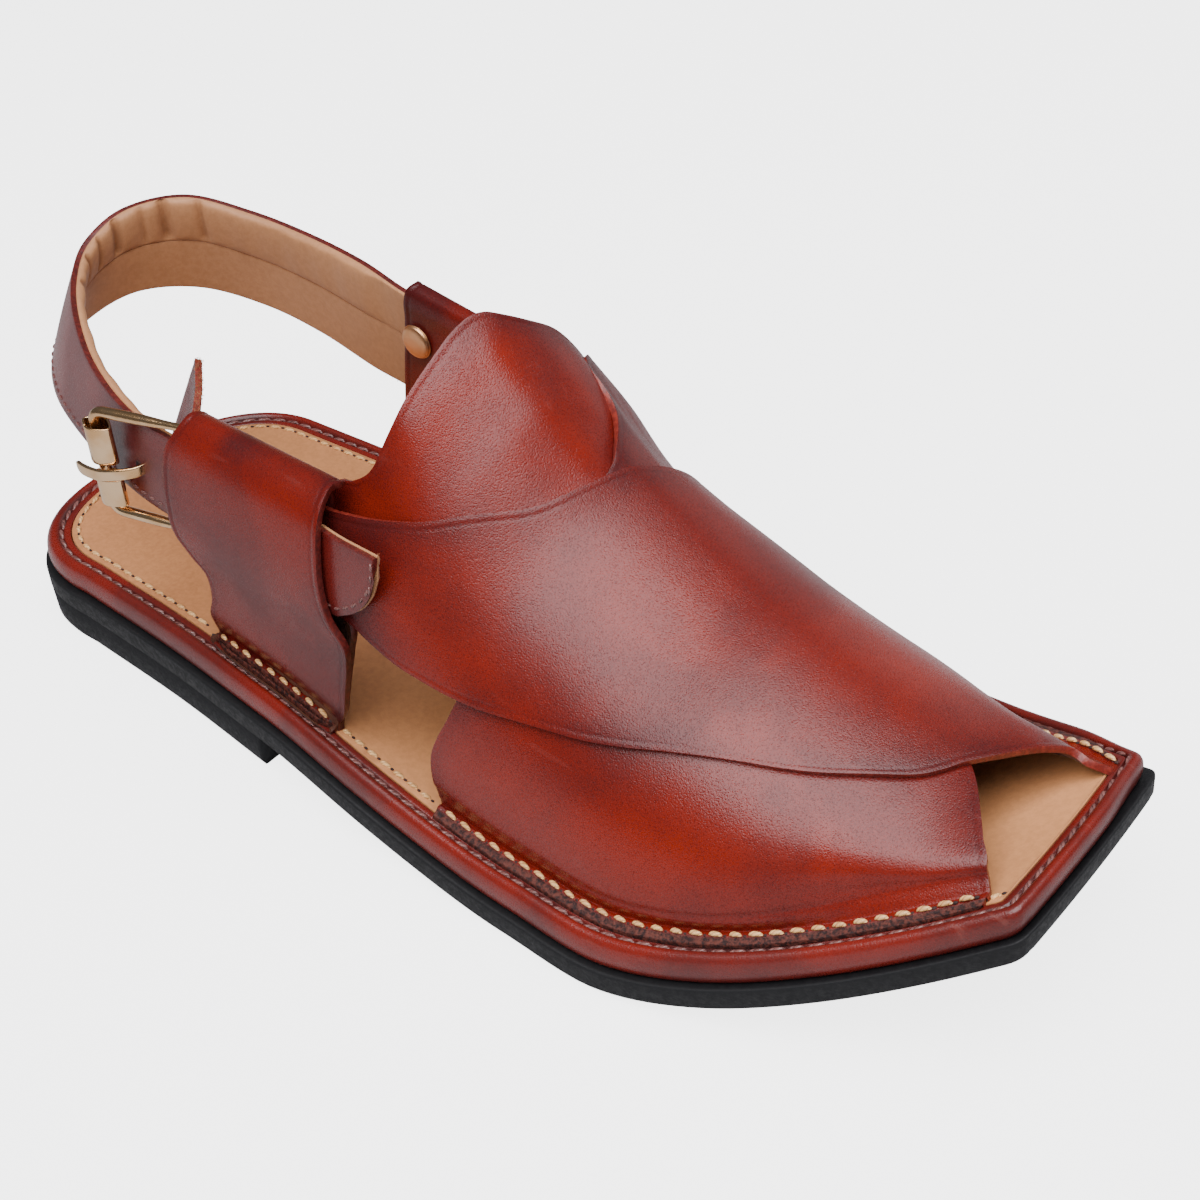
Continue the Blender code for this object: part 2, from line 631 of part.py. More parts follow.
def build_loop(name, table):
    """A sleeve of folded leather, open at both ends."""
    table = np.asarray(table, float)
    side = 1 if table[0, 2] > 0 else -1
    settle = np.clip((FREE_ROW - np.arange(len(table))) / (FREE_ROW - 2.0), 0.0, 1.0)
    rings = []
    for column in np.linspace(0.0, 1.0, LOOP_COLUMNS):
        row = table[:, 0:4] * (1 - column) + table[:, 4:8] * column
        z, x, outer, inner = row.T
        ends = table[0, 1], table[0, 5]
        z = z + settle * (rise(x[0]) - rise(ends[0]) * (1 - column) - rise(ends[1]) * column)
        shift = edge(x[0], side) - edge(ends[0], side) * (1 - column) - edge(ends[1], side) * column
        outer = outer + settle * shift
        inner = inner + settle * shift
        y = np.concatenate([outer, inner[-2::-1]])
        section = np.column_stack([np.concatenate([x, x[-2::-1]]), y,
                                   np.concatenate([z, z[-2::-1]])])
        section[len(table) - 1, 1] = 0.5 * (outer[-1] + inner[-1])
        line = section[:, 1:]
        run = np.gradient(line, axis=0)
        run /= np.linalg.norm(run, axis=1, keepdims=True)
        inward = np.column_stack([run[:, 1], -run[:, 0]])
        middle = line.mean(axis=0)
        if np.sum((middle - line) * inward) < 0:
            inward = -inward
        hollow = section.copy()
        hollow[:, 1:] += inward * LOOP_WALL
        hollow = hollow[CAVITY_ROW: len(section) - CAVITY_ROW]
        rings.append((section, hollow))
    outer_count = len(rings[0][0])
    inner_count = len(rings[0][1])
    points = []
    for section, hollow in rings:
        points.extend(section)
        points.extend(hollow)
    size = outer_count + inner_count
    faces = []
    for i in range(len(rings) - 1):
        a = i * size
        b = a + size
        for j in range(outer_count):
            k = (j + 1) % outer_count
            faces.append((a + j, a + k, b + k, b + j))
        for j in range(inner_count):
            k = (j + 1) % inner_count
            faces.append((a + outer_count + j, a + outer_count + k,
                          b + outer_count + k, b + outer_count + j))
    for a in (0, (len(rings) - 1) * size):
        for j in range(inner_count - 1):
            o = a + CAVITY_ROW + j
            h = a + outer_count + j
            faces.append((o, o + 1, h + 1, h))
        low = [a + j for j in range(CAVITY_ROW + 1)]
        high = [a + j for j in range(outer_count - CAVITY_ROW - 1, outer_count)]
        for j in range(CAVITY_ROW):
            faces.append((low[j], low[j + 1], high[-2 - j], high[-1 - j]))
        faces.append((low[-1], high[0], a + outer_count + inner_count - 1, a + outer_count))
    obj = make(name, points, faces)
    add_material(obj, (0.27, 0.03, 0.02), 0.38)
    return obj


def round_stack(name, centre, segments, rows):
    """A round solid about a Y axis; rows give radius and y."""
    turns = np.linspace(0.0, 2.0 * math.pi, segments, endpoint=False)
    points = []
    for radius, y in rows:
        for a in turns:
            points.append((centre[0] + radius * math.cos(a), y, centre[1] + radius * math.sin(a)))
    last = (len(rows) - 1) * segments
    faces = [tuple(range(segments)), tuple(range(last, last + segments))]
    for first in range(0, last, segments):
        for j in range(segments):
            k = (j + 1) % segments
            faces.append((first + j, first + k, first + segments + k, first + segments + j))
    return make(name, points, faces)


def build_strap():
    """Heel strap with its padding, thin where it runs through the loops, and its punched hole."""
    grid = band_grid(STRAP, 4, 3)
    x = grid[..., 0]
    tight = np.where(grid[..., 1] < 0, smooth_between(*LATERAL_TIGHT_X, x), smooth_between(*MEDIAL_TIGHT_X, x))
    thick = STRAP_THICKNESS * (1 - tight) + STRAP_IN_LOOP * tight
    strap = shell("heel_strap", grid, -thick, np.zeros(grid.shape[:2]))
    hole = round_stack("strap_hole", (HOLE_X, HOLE_Z), 16, ((HOLE_RADIUS, HOLE_Y[0]), (HOLE_RADIUS, HOLE_Y[1])))
    combine(strap, hole, "DIFFERENCE")
    add_material(strap, (0.26, 0.03, 0.02), 0.36)


def sweep(name, path, section, closed, sizes=None):
    """A bar along a path; section gives its offsets to the side and up, sizes scales each one."""
    path = np.asarray(path, float)
    count = len(path)
    sizes = np.ones(count) if sizes is None else sizes
    if closed:
        tangent = np.roll(path, -1, axis=0) - np.roll(path, 1, axis=0)
        plane = np.cross(path[1] - path[0], path[count // 2] - path[0])
        normal = np.tile(plane / np.linalg.norm(plane), (count, 1))
    else:
        tangent = np.gradient(path, axis=0)
        normal = np.tile(np.array((0.0, 0.0, 1.0)), (count, 1))
    tangent /= np.linalg.norm(tangent, axis=1, keepdims=True)
    side = np.cross(tangent, normal)
    side /= np.linalg.norm(side, axis=1, keepdims=True)
    up = np.cross(side, tangent)
    points = []
    for i in range(count):
        for a, b in section:
            points.append(path[i] + (side[i] * a + up[i] * b) * sizes[i])
    n = len(section)
    faces = []
    for i in range(count if closed else count - 1):
        k = (i + 1) % count
        for j in range(n):
            m = (j + 1) % n
            faces.append((i * n + j, i * n + m, k * n + m, k * n + j))
    if not closed:
        faces.append(tuple(range(n)))
        faces.append(tuple(range((count - 1) * n, count * n)))
    return make(name, points, faces)


def build_buckle():
    """Wire frame, two sleeves on its rear bar, and the prong."""
    corners = np.array(FRAME)
    path = []
    for i in range(4):
        before = corners[i - 1] - corners[i]
        after = corners[(i + 1) % 4] - corners[i]
        before /= np.linalg.norm(before)
        after /= np.linalg.norm(after)
        start = corners[i] + before * CORNER_RADIUS
        stop = corners[i] + after * CORNER_RADIUS
        for t in np.linspace(0.0, 1.0, 7):
            path.append(start * (1 - t) ** 2 + corners[i] * 2 * t * (1 - t) + stop * t**2)
        following = corners[(i + 1) % 4] - after * CORNER_RADIUS
        for t in (0.35, 0.7):
            path.append(stop * (1 - t) + following * t)
    turns = np.linspace(0.0, 2.0 * math.pi, 12, endpoint=False)
    circle = [(WIRE_RADIUS * math.cos(a), WIRE_RADIUS * math.sin(a)) for a in turns]
    slim = smooth_between(*HINGE_X, np.array(path)[:, 0])
    sizes = 1.0 - slim * (1.0 - HINGE_RADIUS / WIRE_RADIUS)
    frame = sweep("buckle_frame", path, circle, closed=True, sizes=sizes)
    add_material(frame, (0.83, 0.66, 0.4), 0.22, 1.0)
    for name, (low, high) in (("buckle_sleeve_upper", SLEEVE_UPPER),
                              ("buckle_sleeve_lower", SLEEVE_LOWER)):
        points = []
        turns = np.linspace(0.0, 2.0 * math.pi, SLEEVE_SEGMENTS, endpoint=False)
        for z in (low, high):
            for wall in (0.0, SLEEVE_WALL):
                for a in turns:
                    points.append((SLEEVE_X + (SLEEVE_RADII[0] - wall) * math.cos(a),
                                   SLEEVE_Y + (SLEEVE_RADII[1] - wall) * math.sin(a), z))
        faces = []
        outer, inner, outer_top, inner_top = (SLEEVE_SEGMENTS * i for i in range(4))
        for j in range(SLEEVE_SEGMENTS):
            k = (j + 1) % SLEEVE_SEGMENTS
            for a, b in ((outer, inner), (inner, inner_top), (inner_top, outer_top), (outer_top, outer)):
                faces.append((a + j, a + k, b + k, b + j))
        add_material(make(name, points, faces), (0.83, 0.66, 0.4), 0.22, 1.0)
    table = refine(PRONG, 2)
    half = PRONG_WIDTH / 2.0
    thin = PRONG_THICKNESS / 2.0
    section = [(-thin, -half), (thin, -half), (thin, half), (-thin, half)]
    prong = sweep("buckle_prong", table, section, closed=False)
    add_material(prong, (0.83, 0.66, 0.4), 0.22, 1.0)


def build_rivet():
    rivet = round_stack("strap_rivet", RIVET, 28,
                        ((RIVET_RADIUS, RIVET_Y), (RIVET_RADIUS, RIVET_Y - 0.5 * RIVET_HEIGHT),
                         (0.8 * RIVET_RADIUS, RIVET_Y - RIVET_HEIGHT)))
    add_material(rivet, (0.8, 0.6, 0.38), 0.3, 1.0)


for old in list(bpy.data.objects):
    bpy.data.objects.remove(old, do_unlink=True)

build_outsole()
midsole = stack("midsole", [ring(inset, height) for inset, height in RAND])
add_material(midsole, (0.2, 0.028, 0.018), 0.3)
insole = stack("insole", [ring(inset, height) for inset, height in INSOLE])
add_material(insole, (0.62, 0.38, 0.2), 0.55)
build_upper()
build_tongue()
build_loop("lateral_loop", LATERAL_LOOP)
build_loop("medial_loop", MEDIAL_LOOP)
build_strap()
build_buckle()
build_rivet()
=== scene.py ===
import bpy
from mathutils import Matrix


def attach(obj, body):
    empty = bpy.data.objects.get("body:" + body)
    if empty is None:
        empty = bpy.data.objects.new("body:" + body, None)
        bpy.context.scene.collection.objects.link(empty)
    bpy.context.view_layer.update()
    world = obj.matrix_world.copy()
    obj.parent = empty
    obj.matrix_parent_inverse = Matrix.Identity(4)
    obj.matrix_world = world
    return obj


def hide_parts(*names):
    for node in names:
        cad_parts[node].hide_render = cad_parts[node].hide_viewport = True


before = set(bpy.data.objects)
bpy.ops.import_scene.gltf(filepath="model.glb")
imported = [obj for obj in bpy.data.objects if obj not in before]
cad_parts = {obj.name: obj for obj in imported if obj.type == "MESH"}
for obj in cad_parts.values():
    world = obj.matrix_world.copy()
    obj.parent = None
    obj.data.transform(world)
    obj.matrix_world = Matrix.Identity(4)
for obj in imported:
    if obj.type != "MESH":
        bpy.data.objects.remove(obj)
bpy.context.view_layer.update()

import math
import random

import bmesh
import bpy
import numpy as np
from mathutils import Matrix, Vector

# One right shoe. Sizes are in millimetres along the foot (x), to the medial side (y) and up (z),
# and toWorld brings them to the shared frame.
shiftX, shiftY = -142.1, 3.12
dice = random.Random(41)


def toWorld(point):
    return Vector(((point[0] + shiftX) * 0.001, (point[1] + shiftY) * 0.001, point[2] * 0.001))


def ease(low, high, x):
    # A smooth share from 0 to 1.
    t = np.clip((np.asarray(x, float) - low) / (high - low), 0.0, 1.0)
    return t * t * (3.0 - 2.0 * t)


def bell(x, centre, spread):
    return np.exp(-((x - centre) / spread) ** 2)


def between(a, b, share):
    return a * (1 - share) + b * share


def unit(table):
    return table / np.linalg.norm(table, axis=-1, keepdims=True)


def follow(keys, values, at):
    # A smooth curve through values at rising keys.
    keys = np.asarray(keys, float)
    values = np.asarray(values, float)
    at = np.clip(np.asarray(at, float), keys[0], keys[-1])
    wide = (slice(None),) + (None,) * (values.ndim - 1)
    step = np.diff(keys)[wide]
    slope = np.diff(values, axis=0) / step
    lean = np.empty_like(values)
    lean[0], lean[-1] = slope[0], slope[-1]
    lean[1:-1] = (slope[:-1] * step[1:] + slope[1:] * step[:-1]) / (step[1:] + step[:-1])
    i = np.clip(np.searchsorted(keys, at, side="right") - 1, 0, len(keys) - 2)
    h = keys[i + 1] - keys[i]
    t = (at - keys[i]) / h
    extra = (Ellipsis,) + (None,) * (values.ndim - 1)
    h, t = h[extra], t[extra]
    return ((2 * t**3 - 3 * t**2 + 1) * values[i] + (t**3 - 2 * t**2 + t) * h * lean[i]
            + (3 * t**2 - 2 * t**3) * values[i + 1] + (t**3 - t**2) * h * lean[i + 1])


def smooth(rows, count):
    # The same rows, drawn smoothly at more places.
    return follow(np.arange(len(rows)), rows, np.linspace(0, len(rows) - 1, count))


def column(table, k, at):
    # Column k of a table, at values of its first column.
    table = np.asarray(table, float)
    return follow(table[:, 0], table[:, k], at)


def resample(points, pitch):
    # Points at even steps along a line of points, with the unit direction at each.
    points = np.asarray(points, float)
    run = np.concatenate([[0.0], np.cumsum(np.linalg.norm(np.diff(points, axis=0), axis=1))])
    at = np.arange(pitch * 0.5, run[-1], pitch)
    spots, ahead, behind = (np.column_stack([np.interp(at + step, run, points[:, k]) for k in range(3)])
                            for step in (0.0, 0.4, -0.4))
    return spots, unit(ahead - behind)


def dense(control, rows, columns, pack):
    # A smooth sheet of rows x columns points through a coarse one; pack draws columns to the edges.
    at = np.linspace(0.0, 1.0, columns)
    at = at - pack * np.sin(2 * math.pi * at) / (2 * math.pi)
    tall = smooth(control, rows).transpose(1, 0, 2)
    return follow(np.arange(len(tall)), tall, at * (len(tall) - 1)).transpose(1, 0, 2)


footMiddle = np.array((110.0, 0.0, 40.0))


def outward(sheet, middle=footMiddle):
    normal = np.cross(np.gradient(sheet, axis=0), np.gradient(sheet, axis=1))
    normal /= np.linalg.norm(normal, axis=-1, keepdims=True) + 1e-12
    return normal if np.sum(normal * (sheet - middle)) > 0 else -normal


def edgeRun(sheet):
    # Distance of every point from the nearer long edge.
    run = np.cumsum(np.linalg.norm(np.diff(sheet, axis=1), axis=-1), axis=1)
    run = np.concatenate([np.zeros((len(sheet), 1)), run], axis=1)
    return np.minimum(run, run[:, -1:] - run)


# A burnished rim: a soft bead along the long edges and a crease behind it, each with place and width, and the
# place, width and strength of the painted shade in the crease.
rimBead = {"height": 0.2, "bead": (0.7, 0.5), "crease": (1.7, 0.4), "shade": (1.7, 0.5), "tone": 0.35}


def pressRim(sheet, size, middle=footMiddle):
    away = edgeRun(sheet)
    high, low = bell(away, *rimBead["bead"]), bell(away, *rimBead["crease"])
    height = rimBead["height"] * high - rimBead["height"] * low
    return sheet + outward(sheet, middle) * (size * height)[..., None]


def edgeMask(sheet, reach):
    # 1 at both long edges, fading inwards over the reach.
    return 1.0 - ease(0.0, reach, edgeRun(sheet))


# Meshes start from a grid that is bent into shape; several grids may make one mesh.
def dressFaces(verts, slot=0):
    for face in {face for vert in verts for face in vert.link_faces}:
        face.material_index = slot
        face.smooth = True


def addGrid(bm, sheet, **masks):
    rows, columns = sheet.shape[:2]
    layers = {key: bm.verts.layers.float.get(key) or bm.verts.layers.float.new(key) for key in masks}
    if not bm.loops.layers.uv:
        bm.loops.layers.uv.new("UVMap")
    verts = bmesh.ops.create_grid(bm, x_segments=rows - 1, y_segments=columns - 1, size=0.5,
                                  calc_uvs=True)["verts"]
    for vert in verts:
        i = round((vert.co.x + 0.5) * (rows - 1))
        j = round((vert.co.y + 0.5) * (columns - 1))
        vert.co = toWorld(sheet[i, j])
        for key, layer in layers.items():
            vert[layer] = float(masks[key][i, j])
    dressFaces(verts)


def gridMesh(sheet, **masks):
    bm = bmesh.new()
    addGrid(bm, sheet, **masks)
    return bm


def closeUp(bm, outwards=True):
    bmesh.ops.remove_doubles(bm, verts=bm.verts, dist=2e-6)
    bmesh.ops.dissolve_degenerate(bm, edges=bm.edges, dist=1e-6)
    if outwards:
        bmesh.ops.recalc_face_normals(bm, faces=bm.faces)


def newObject(name, data):
    made = bpy.data.objects.new(name, data)
    bpy.context.collection.objects.link(made)
    return made


def finishMesh(bm, name, materials):
    mesh = bpy.data.meshes.new(name)
    bm.to_mesh(mesh)
    bm.free()
    for material in materials:
        mesh.materials.append(material)
    return newObject(name, mesh)


def finishPiece(bm, name, materials, node=None, middle=None):
    if middle is not None:
        # An open sheet faces away from the foot.
        bm.normal_update()
        total = sum(face.normal.dot(face.calc_center_median() - toWorld(middle)) * face.calc_area()
                    for face in bm.faces)
        if total < 0:
            bmesh.ops.reverse_faces(bm, faces=bm.faces)
    piece = finishMesh(bm, name, materials)
    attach(piece, "root")
    if node:
        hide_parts(node)
    return piece


def thicken(piece, wall, soften, rim=1, back=2):
    # A leather sheet gets its wall, a cut edge and a little softening along it.
    setValues(piece.modifiers.new("wall", "SOLIDIFY"), thickness=wall * 0.001, offset=-1.0,
              use_even_offset=False, material_offset_rim=rim, material_offset=back)
    setValues(piece.modifiers.new("softEdge", "BEVEL"), width=soften * 0.001, segments=2,
              limit_method="ANGLE", angle_limit=math.radians(50), harden_normals=False)


# The sole's plan and the foot's form, shared by every piece.
sole = {
    "heelHeight": 8.6, "breast": 98.8, "waistEnd": 178.0, "ballEnd": 201.5,
    "toeSpring": 29.6, "springLength": 84.5, "springPower": 1.6, "thickness": 5.5,
    "toe": 286.4, "toeBow": 0.8, "toeCorner": 3.0, "heelCentre": 30.0, "heelDepth": 33.0,
    "heelApex": -3.0, "heelPower": {-1: 2.6, 1: 2.2}, "border": 6.9, "toeMiddle": 0.5,
    "stations": 90, "lastStation": 280.0, "aslant": (235.0, 255.0),
    # x, lateral edge, medial edge
    "outline": ((30, -42.4, 42.3), (65, -45.6, 43.0), (100, -50.4, 42.0), (130, -54.4, 43.6),
                (155, -56.5, 47.6), (180, -58.3, 52.0), (205, -59.4, 53.2), (230, -54.2, 49.0),
                (250, -46.4, 42.6), (270, -36.6, 35.4), (286.5, -27.5, 28.3)),
}
outline = np.array(sole["outline"], float)


def rise(x):
    # Height of the outsole's underside.
    heel = sole["heelHeight"] * (1.0 - ease(sole["breast"], sole["waistEnd"], x))
    toe = np.clip((np.asarray(x, float) - sole["ballEnd"]) / sole["springLength"], 0.0, None)
    return heel + sole["toeSpring"] * toe ** sole["springPower"]


def edge(x, side):
    return column(outline, 1 if side < 0 else 2, x)


def soleTop(x):
    return rise(x) + sole["thickness"]


def halfPlan(inset, side):
    # Plan points of one side, from the back of the heel to the middle of the toe.
    centre, apex, toe, middle = sole["heelCentre"], sole["heelApex"], sole["toe"], sole["toeMiddle"]
    power = 2 / sole["heelPower"][side]
    reach = abs(float(edge(centre, side)) - apex) - inset
    points = [(centre - (sole["heelDepth"] - inset) * math.cos(angle) ** power,
               apex + side * reach * math.sin(angle) ** power) for angle in np.radians(np.linspace(0, 86, 30))]
    front = toe - inset
    span = (front - centre) / (toe - centre)

    def inner(x):
        step = 0.5 if x < toe - 1 else 0.0
        slope = float(edge(x + step, side) - edge(x - 0.5, side)) / (0.5 + step)
        return float(edge(x, side)) - side * inset * math.sqrt(1.0 + slope * slope)

    for station in np.linspace(centre, sole["lastStation"], sole["stations"]):
        x = centre + (station - centre) * span
        points.append((x, inner(x)))
    tip = np.array((front, inner(front)))
    back = np.array((front - 4.0, inner(front - 4.0)))
    along = (tip - back) / np.linalg.norm(tip - back)
    across = np.array((0.0, -float(side)))
    radius = sole["toeCorner"] * max(0.3, 1.0 - inset / 10.0)
    for t in np.linspace(0.0, 1.0, 7):
        points.append(tuple(tip - radius * along * (1 - t) ** 2 + radius * across * t ** 2))
    half = abs(tip[1] - middle)
    for share in np.linspace(0.85, 0.0, 9):
        points.append((front + sole["toeBow"] * (1.0 - share ** 2), middle + side * half * share))
    return np.array(points)


def planRing(inset, height):
    # The whole outline once round, as points over the outsole's top face.
    plan = np.concatenate([halfPlan(inset, -1), halfPlan(inset, 1)[-2::-1]])
    return np.column_stack([plan, soleTop(plan[:, 0]) + height])


def wallSheet(profile):
    # profile rows: inset, height over the outsole's top face
    return np.array([planRing(inset, height) for inset, height in profile])


def deckSheet(inset, height, across=4, hollow=0.0):
    # The face inside an outline, station by station from heel to toe.
    share = np.linspace(0.0, 1.0, across)[None, :, None]
    plan = between(halfPlan(inset, -1)[:, None, :], halfPlan(inset, 1)[:, None, :], share)
    z = soleTop(plan[..., 0]) + height - hollow * (1 - (2 * share[..., 0] - 1) ** 2) ** 0.8
    return np.concatenate([plan, z[..., None]], axis=-1)


# x, crest height, crest y, lateral fullness, medial fullness, tuck of the medial base
foot = np.array((
    (60, 110, 0, 0.80, 0.80, 0), (100, 105, 0, 0.80, 0.80, 0), (130, 88.5, 3, 0.80, 0.80, 0),
    (150, 75.5, 5, 0.82, 0.98, 0.3), (168, 62.5, 5.5, 0.85, 1.23, 0.9), (190, 52, 3, 0.85, 1.27, 1.2),
    (215, 42.5, -1, 0.85, 1.38, 1.9), (240, 28, -2.5, 0.82, 1.26, 2.5), (262, 14, -1, 0.80, 1.12, 3.2),
    (284, 5, 1, 0.80, 1.30, 1.6)), float)

# The dome stands fuller on its medial shoulder: along x, then over the turn in degrees.
shoulder = {"height": 4.6,
            "along": ((100, 1), (146, 1), (153, 0.8), (158, 0.44), (163, 0.2), (168, 0.04), (173, 0), (300, 0)),
            "over": ((0, 0), (42, 0), (58, 0.2), (72, 0.42), (86, 0.66), (104, 0.98), (116, 1.06), (126, 0.95),
                     (138, 0.6), (150, 0.12), (156, 0), (180, 0))}
footBase = {"inset": 9.5, "height": 13.0}  # where the upper's form stands on the sole


def swellOf(x, turn):
    return (shoulder["height"] * column(shoulder["along"], 1, x)
            * column(shoulder["over"], 1, np.degrees(turn)))


def lean(x, side):
    # How much further an inset reaches where the outline runs aslant.
    slope = (edge(np.minimum(x + 1.0, 286.0), side) - edge(np.asarray(x) - 1.0, side)) / 2.0
    return 1.0 + (np.sqrt(1.0 + slope ** 2) - 1.0) * ease(*sole["aslant"], x)


def overFoot(x, turn):
    # The upper's form: place along the foot, and turn from the lateral base (0) to the medial one (180).
    height, middle, lateralFull, medialFull, tuck = (column(foot, k, x) for k in range(1, 6))
    share = np.cos(turn)
    lateral = edge(x, -1) + footBase["inset"] * lean(x, -1)
    medial = edge(x, 1) - footBase["inset"] - tuck
    y = middle - np.where(share > 0, middle - lateral, medial - middle) * share
    full = np.where(share > 0, lateralFull, medialFull)
    z = rise(x) + footBase["height"] + height * np.clip(np.sin(turn), 0.0, 1.0) ** full
    swell = swellOf(x, turn)
    return np.stack([np.broadcast_to(x, y.shape), y - swell * share, z + swell * np.sin(turn)], axis=-1)


acrossPanel = np.linspace(0.0, 1.0, 13)[None, :]


def panelRows(rows):
    # rows: x and turn in degrees at one edge of the panel, then at the other
    table = smooth(rows, 2 * len(rows) - 1)
    x = between(table[:, 0:1], table[:, 2:3], acrossPanel)
    return overFoot(x, np.radians(between(table[:, 1:2], table[:, 3:4], acrossPanel)))


def bandRows(rows):
    # rows: x, y, z at one edge, then at the other
    rows = np.array(rows, float)[:, None, :]
    return between(rows[..., :3], rows[..., 3:], acrossPanel[..., None])


# The edge that is turned out and stitched down, from its cut foot to where the panel rises: inset from
# the sole's edge, height, and 1 where the cut is raw. A loop's edge has two layers with a slit between.
flange = {
    "panel": ((5.7, 0.1, 1.0), (5.75, 0.8, 1.0), (5.9, 1.15, 1.0), (6.2, 1.3, 1.0), (6.5, 1.38, 1.0),
              (6.8, 1.5, 1.0), (7.1, 1.75, 0.95), (7.45, 2.15, 0.0), (8.1, 2.35, 0.0), (8.8, 2.6, 0.0)),
    "loop": ((5.7, 0.1, 1.0), (5.75, 1.1, 1.0), (5.95, 1.65, 1.0), (6.3, 1.55, 1.0), (6.55, 0.8, 1.0),
             (6.8, 1.6, 1.0), (7.1, 2.1, 0.8), (7.45, 2.25, 0.0), (8.1, 2.3, 0.0), (8.8, 2.7, 0.0)),
    # how far in and down a free end is drawn, and the insets between which the medial tuck sets in
    "narrowTo": 8.4, "narrowing": 0.92, "lowering": 0.7, "tuck": (6.7, 8.8),
}


def flangeRows(xs, side, kind, narrow):
    # narrow, from 0 to 1, draws the flange in and down towards a free end.
    rows = []
    for inset, height, raw in flange[kind]:
        more = column(foot, 5, xs) * ease(*flange["tuck"], inset) if side > 0 and kind == "panel" else 0.0
        reach = inset + narrow * max(0.0, flange["narrowTo"] - inset) * flange["narrowing"]
        y = edge(xs, side) - side * (reach + more) * lean(xs, side)
        level = soleTop(xs) + sole["border"] + height * (1 - flange["lowering"] * narrow)
        rows.append(np.column_stack([xs, y, level, np.full(len(xs), raw)]))
    return np.array(rows)


def withRaw(sheet):
    return np.concatenate([sheet, np.zeros(sheet.shape[:-1] + (1,))], axis=-1)


# Nodes that the finishes share.
def setValues(target, **values):
    for key, value in values.items():
        setattr(target, key, value)
    return target


def setInputs(tree, node, values):
    for key, value in values.items():
        if isinstance(value, bpy.types.NodeSocket):
            tree.links.new(value, node.inputs[key])
        else:
            node.inputs[key].default_value = value
    return node


def addNode(tree, kind, inputs=None, **values):
    return setInputs(tree, setValues(tree.nodes.new("ShaderNode" + kind), **values), inputs or {})


def addGroup(tree, group, inputs):
    return addNode(tree, "Group", inputs, node_tree=group).outputs


def mathNode(tree, operation, a, b, clamp=False):
    return addNode(tree, "Math", {0: a, 1: b}, operation=operation, use_clamp=clamp).outputs[0]


def times(tree, a, b):
    return mathNode(tree, "MULTIPLY", a, b)


def less(tree, a, b):
    return mathNode(tree, "SUBTRACT", a, b)


def addUp(tree, *parts, clamp=True):
    # Each value times its weight, added up and kept within 0 and 1.
    total, *others = [times(tree, value, weight) for value, weight in parts]
    for k, other in enumerate(others, 1):
        total = mathNode(tree, "ADD", total, other, clamp and k == len(others))
    return total


def mixColour(tree, factor, a, b):
    return addNode(tree, "Mix", {0: factor, 6: a, 7: b}, data_type="RGBA").outputs[2]


def ramp(tree, value, low, high, first=0.0, last=1.0):
    return addNode(tree, "MapRange", {0: value, 1: low, 2: high, 3: first, 4: last},
                   interpolation_type="SMOOTHSTEP").outputs[0]


def objectPlace(tree):
    return addNode(tree, "TexCoord").outputs["Object"]


def noise(tree, place, scale, detail, rough=0.5, bend=0.0):
    return addNode(tree, "TexNoise", {"Vector": place, "Scale": scale, "Detail": detail, "Roughness": rough,
                                      "Distortion": bend}).outputs["Fac"]


def streaks(tree, place, scale, detail, turn=0.0):
    # Noise drawn out by its own scale along each axis.
    drawn = addNode(tree, "Mapping", {"Vector": place, "Scale": scale, "Rotation": (0.0, 0.0, turn)})
    return noise(tree, drawn.outputs[0], 1.0, detail)


def attributeOf(tree, name):
    return addNode(tree, "Attribute", attribute_name=name, attribute_type="GEOMETRY").outputs["Fac"]


def newGroup(name, inputs, outputs):
    # A tuple makes a colour socket, a number a plain one.
    group = bpy.data.node_groups.new(name, "ShaderNodeTree")
    for label, value in inputs.items():
        kind = "NodeSocketColor" if isinstance(value, tuple) else "NodeSocketFloat"
        group.interface.new_socket(label, in_out="INPUT", socket_type=kind).default_value = value
    for label in outputs:
        kind = "NodeSocketColor" if label == "Color" else "NodeSocketFloat"
        group.interface.new_socket(label, in_out="OUTPUT", socket_type=kind)
    return group, group.nodes.new("NodeGroupInput").outputs, group.nodes.new("NodeGroupOutput")


def makeLeatherGroup():
    # Burnished hide: cloudy dark and bright areas, a fine close grain and small dark pores, darkened further by
    # the painted shade it is given.
    group, given, out = newGroup("burnishedHide", {
        "Bright": (0.24, 0.017, 0.005, 1), "Deep": (0.08, 0.008, 0.007, 1), "Shade And Tone": 0.0,
        "Cloud Scale": 28.0, "Cloud": 0.6, "Pore": 0.35}, ("Color", "Height", "Cloud", "Speck"))
    place = objectPlace(group)
    cloud = ramp(group, noise(group, place, given["Cloud Scale"], 3.0, 0.5, 0.5), 0.35, 0.66)
    mottle = noise(group, place, 150.0, 4.0, 0.6)
    grain = noise(group, place, 2500.0, 2.0, 0.6)
    cells = addNode(group, "TexVoronoi", {"Vector": place, "Scale": 2300.0}, feature="F1")
    pore = ramp(group, cells.outputs["Distance"], 0.1, 0.6, 1.0, 0.0)
    dark = addUp(group, (less(group, 1.0, cloud), given["Cloud"]), (given["Shade And Tone"], 1.0),
                 (less(group, mottle, 0.5), 0.35), (less(group, grain, 0.5), 0.9))
    speck = times(group, times(group, pore, ramp(group, grain, 0.42, 0.6)), given["Pore"])
    colour = mixColour(group, dark, given["Bright"], given["Deep"])
    setInputs(group, out, {"Color": mixColour(group, speck, colour, (0.02, 0.004, 0.005, 1)),
                           "Height": less(group, grain, times(group, pore, 0.5)),
                           "Cloud": cloud, "Speck": speck})
    return group


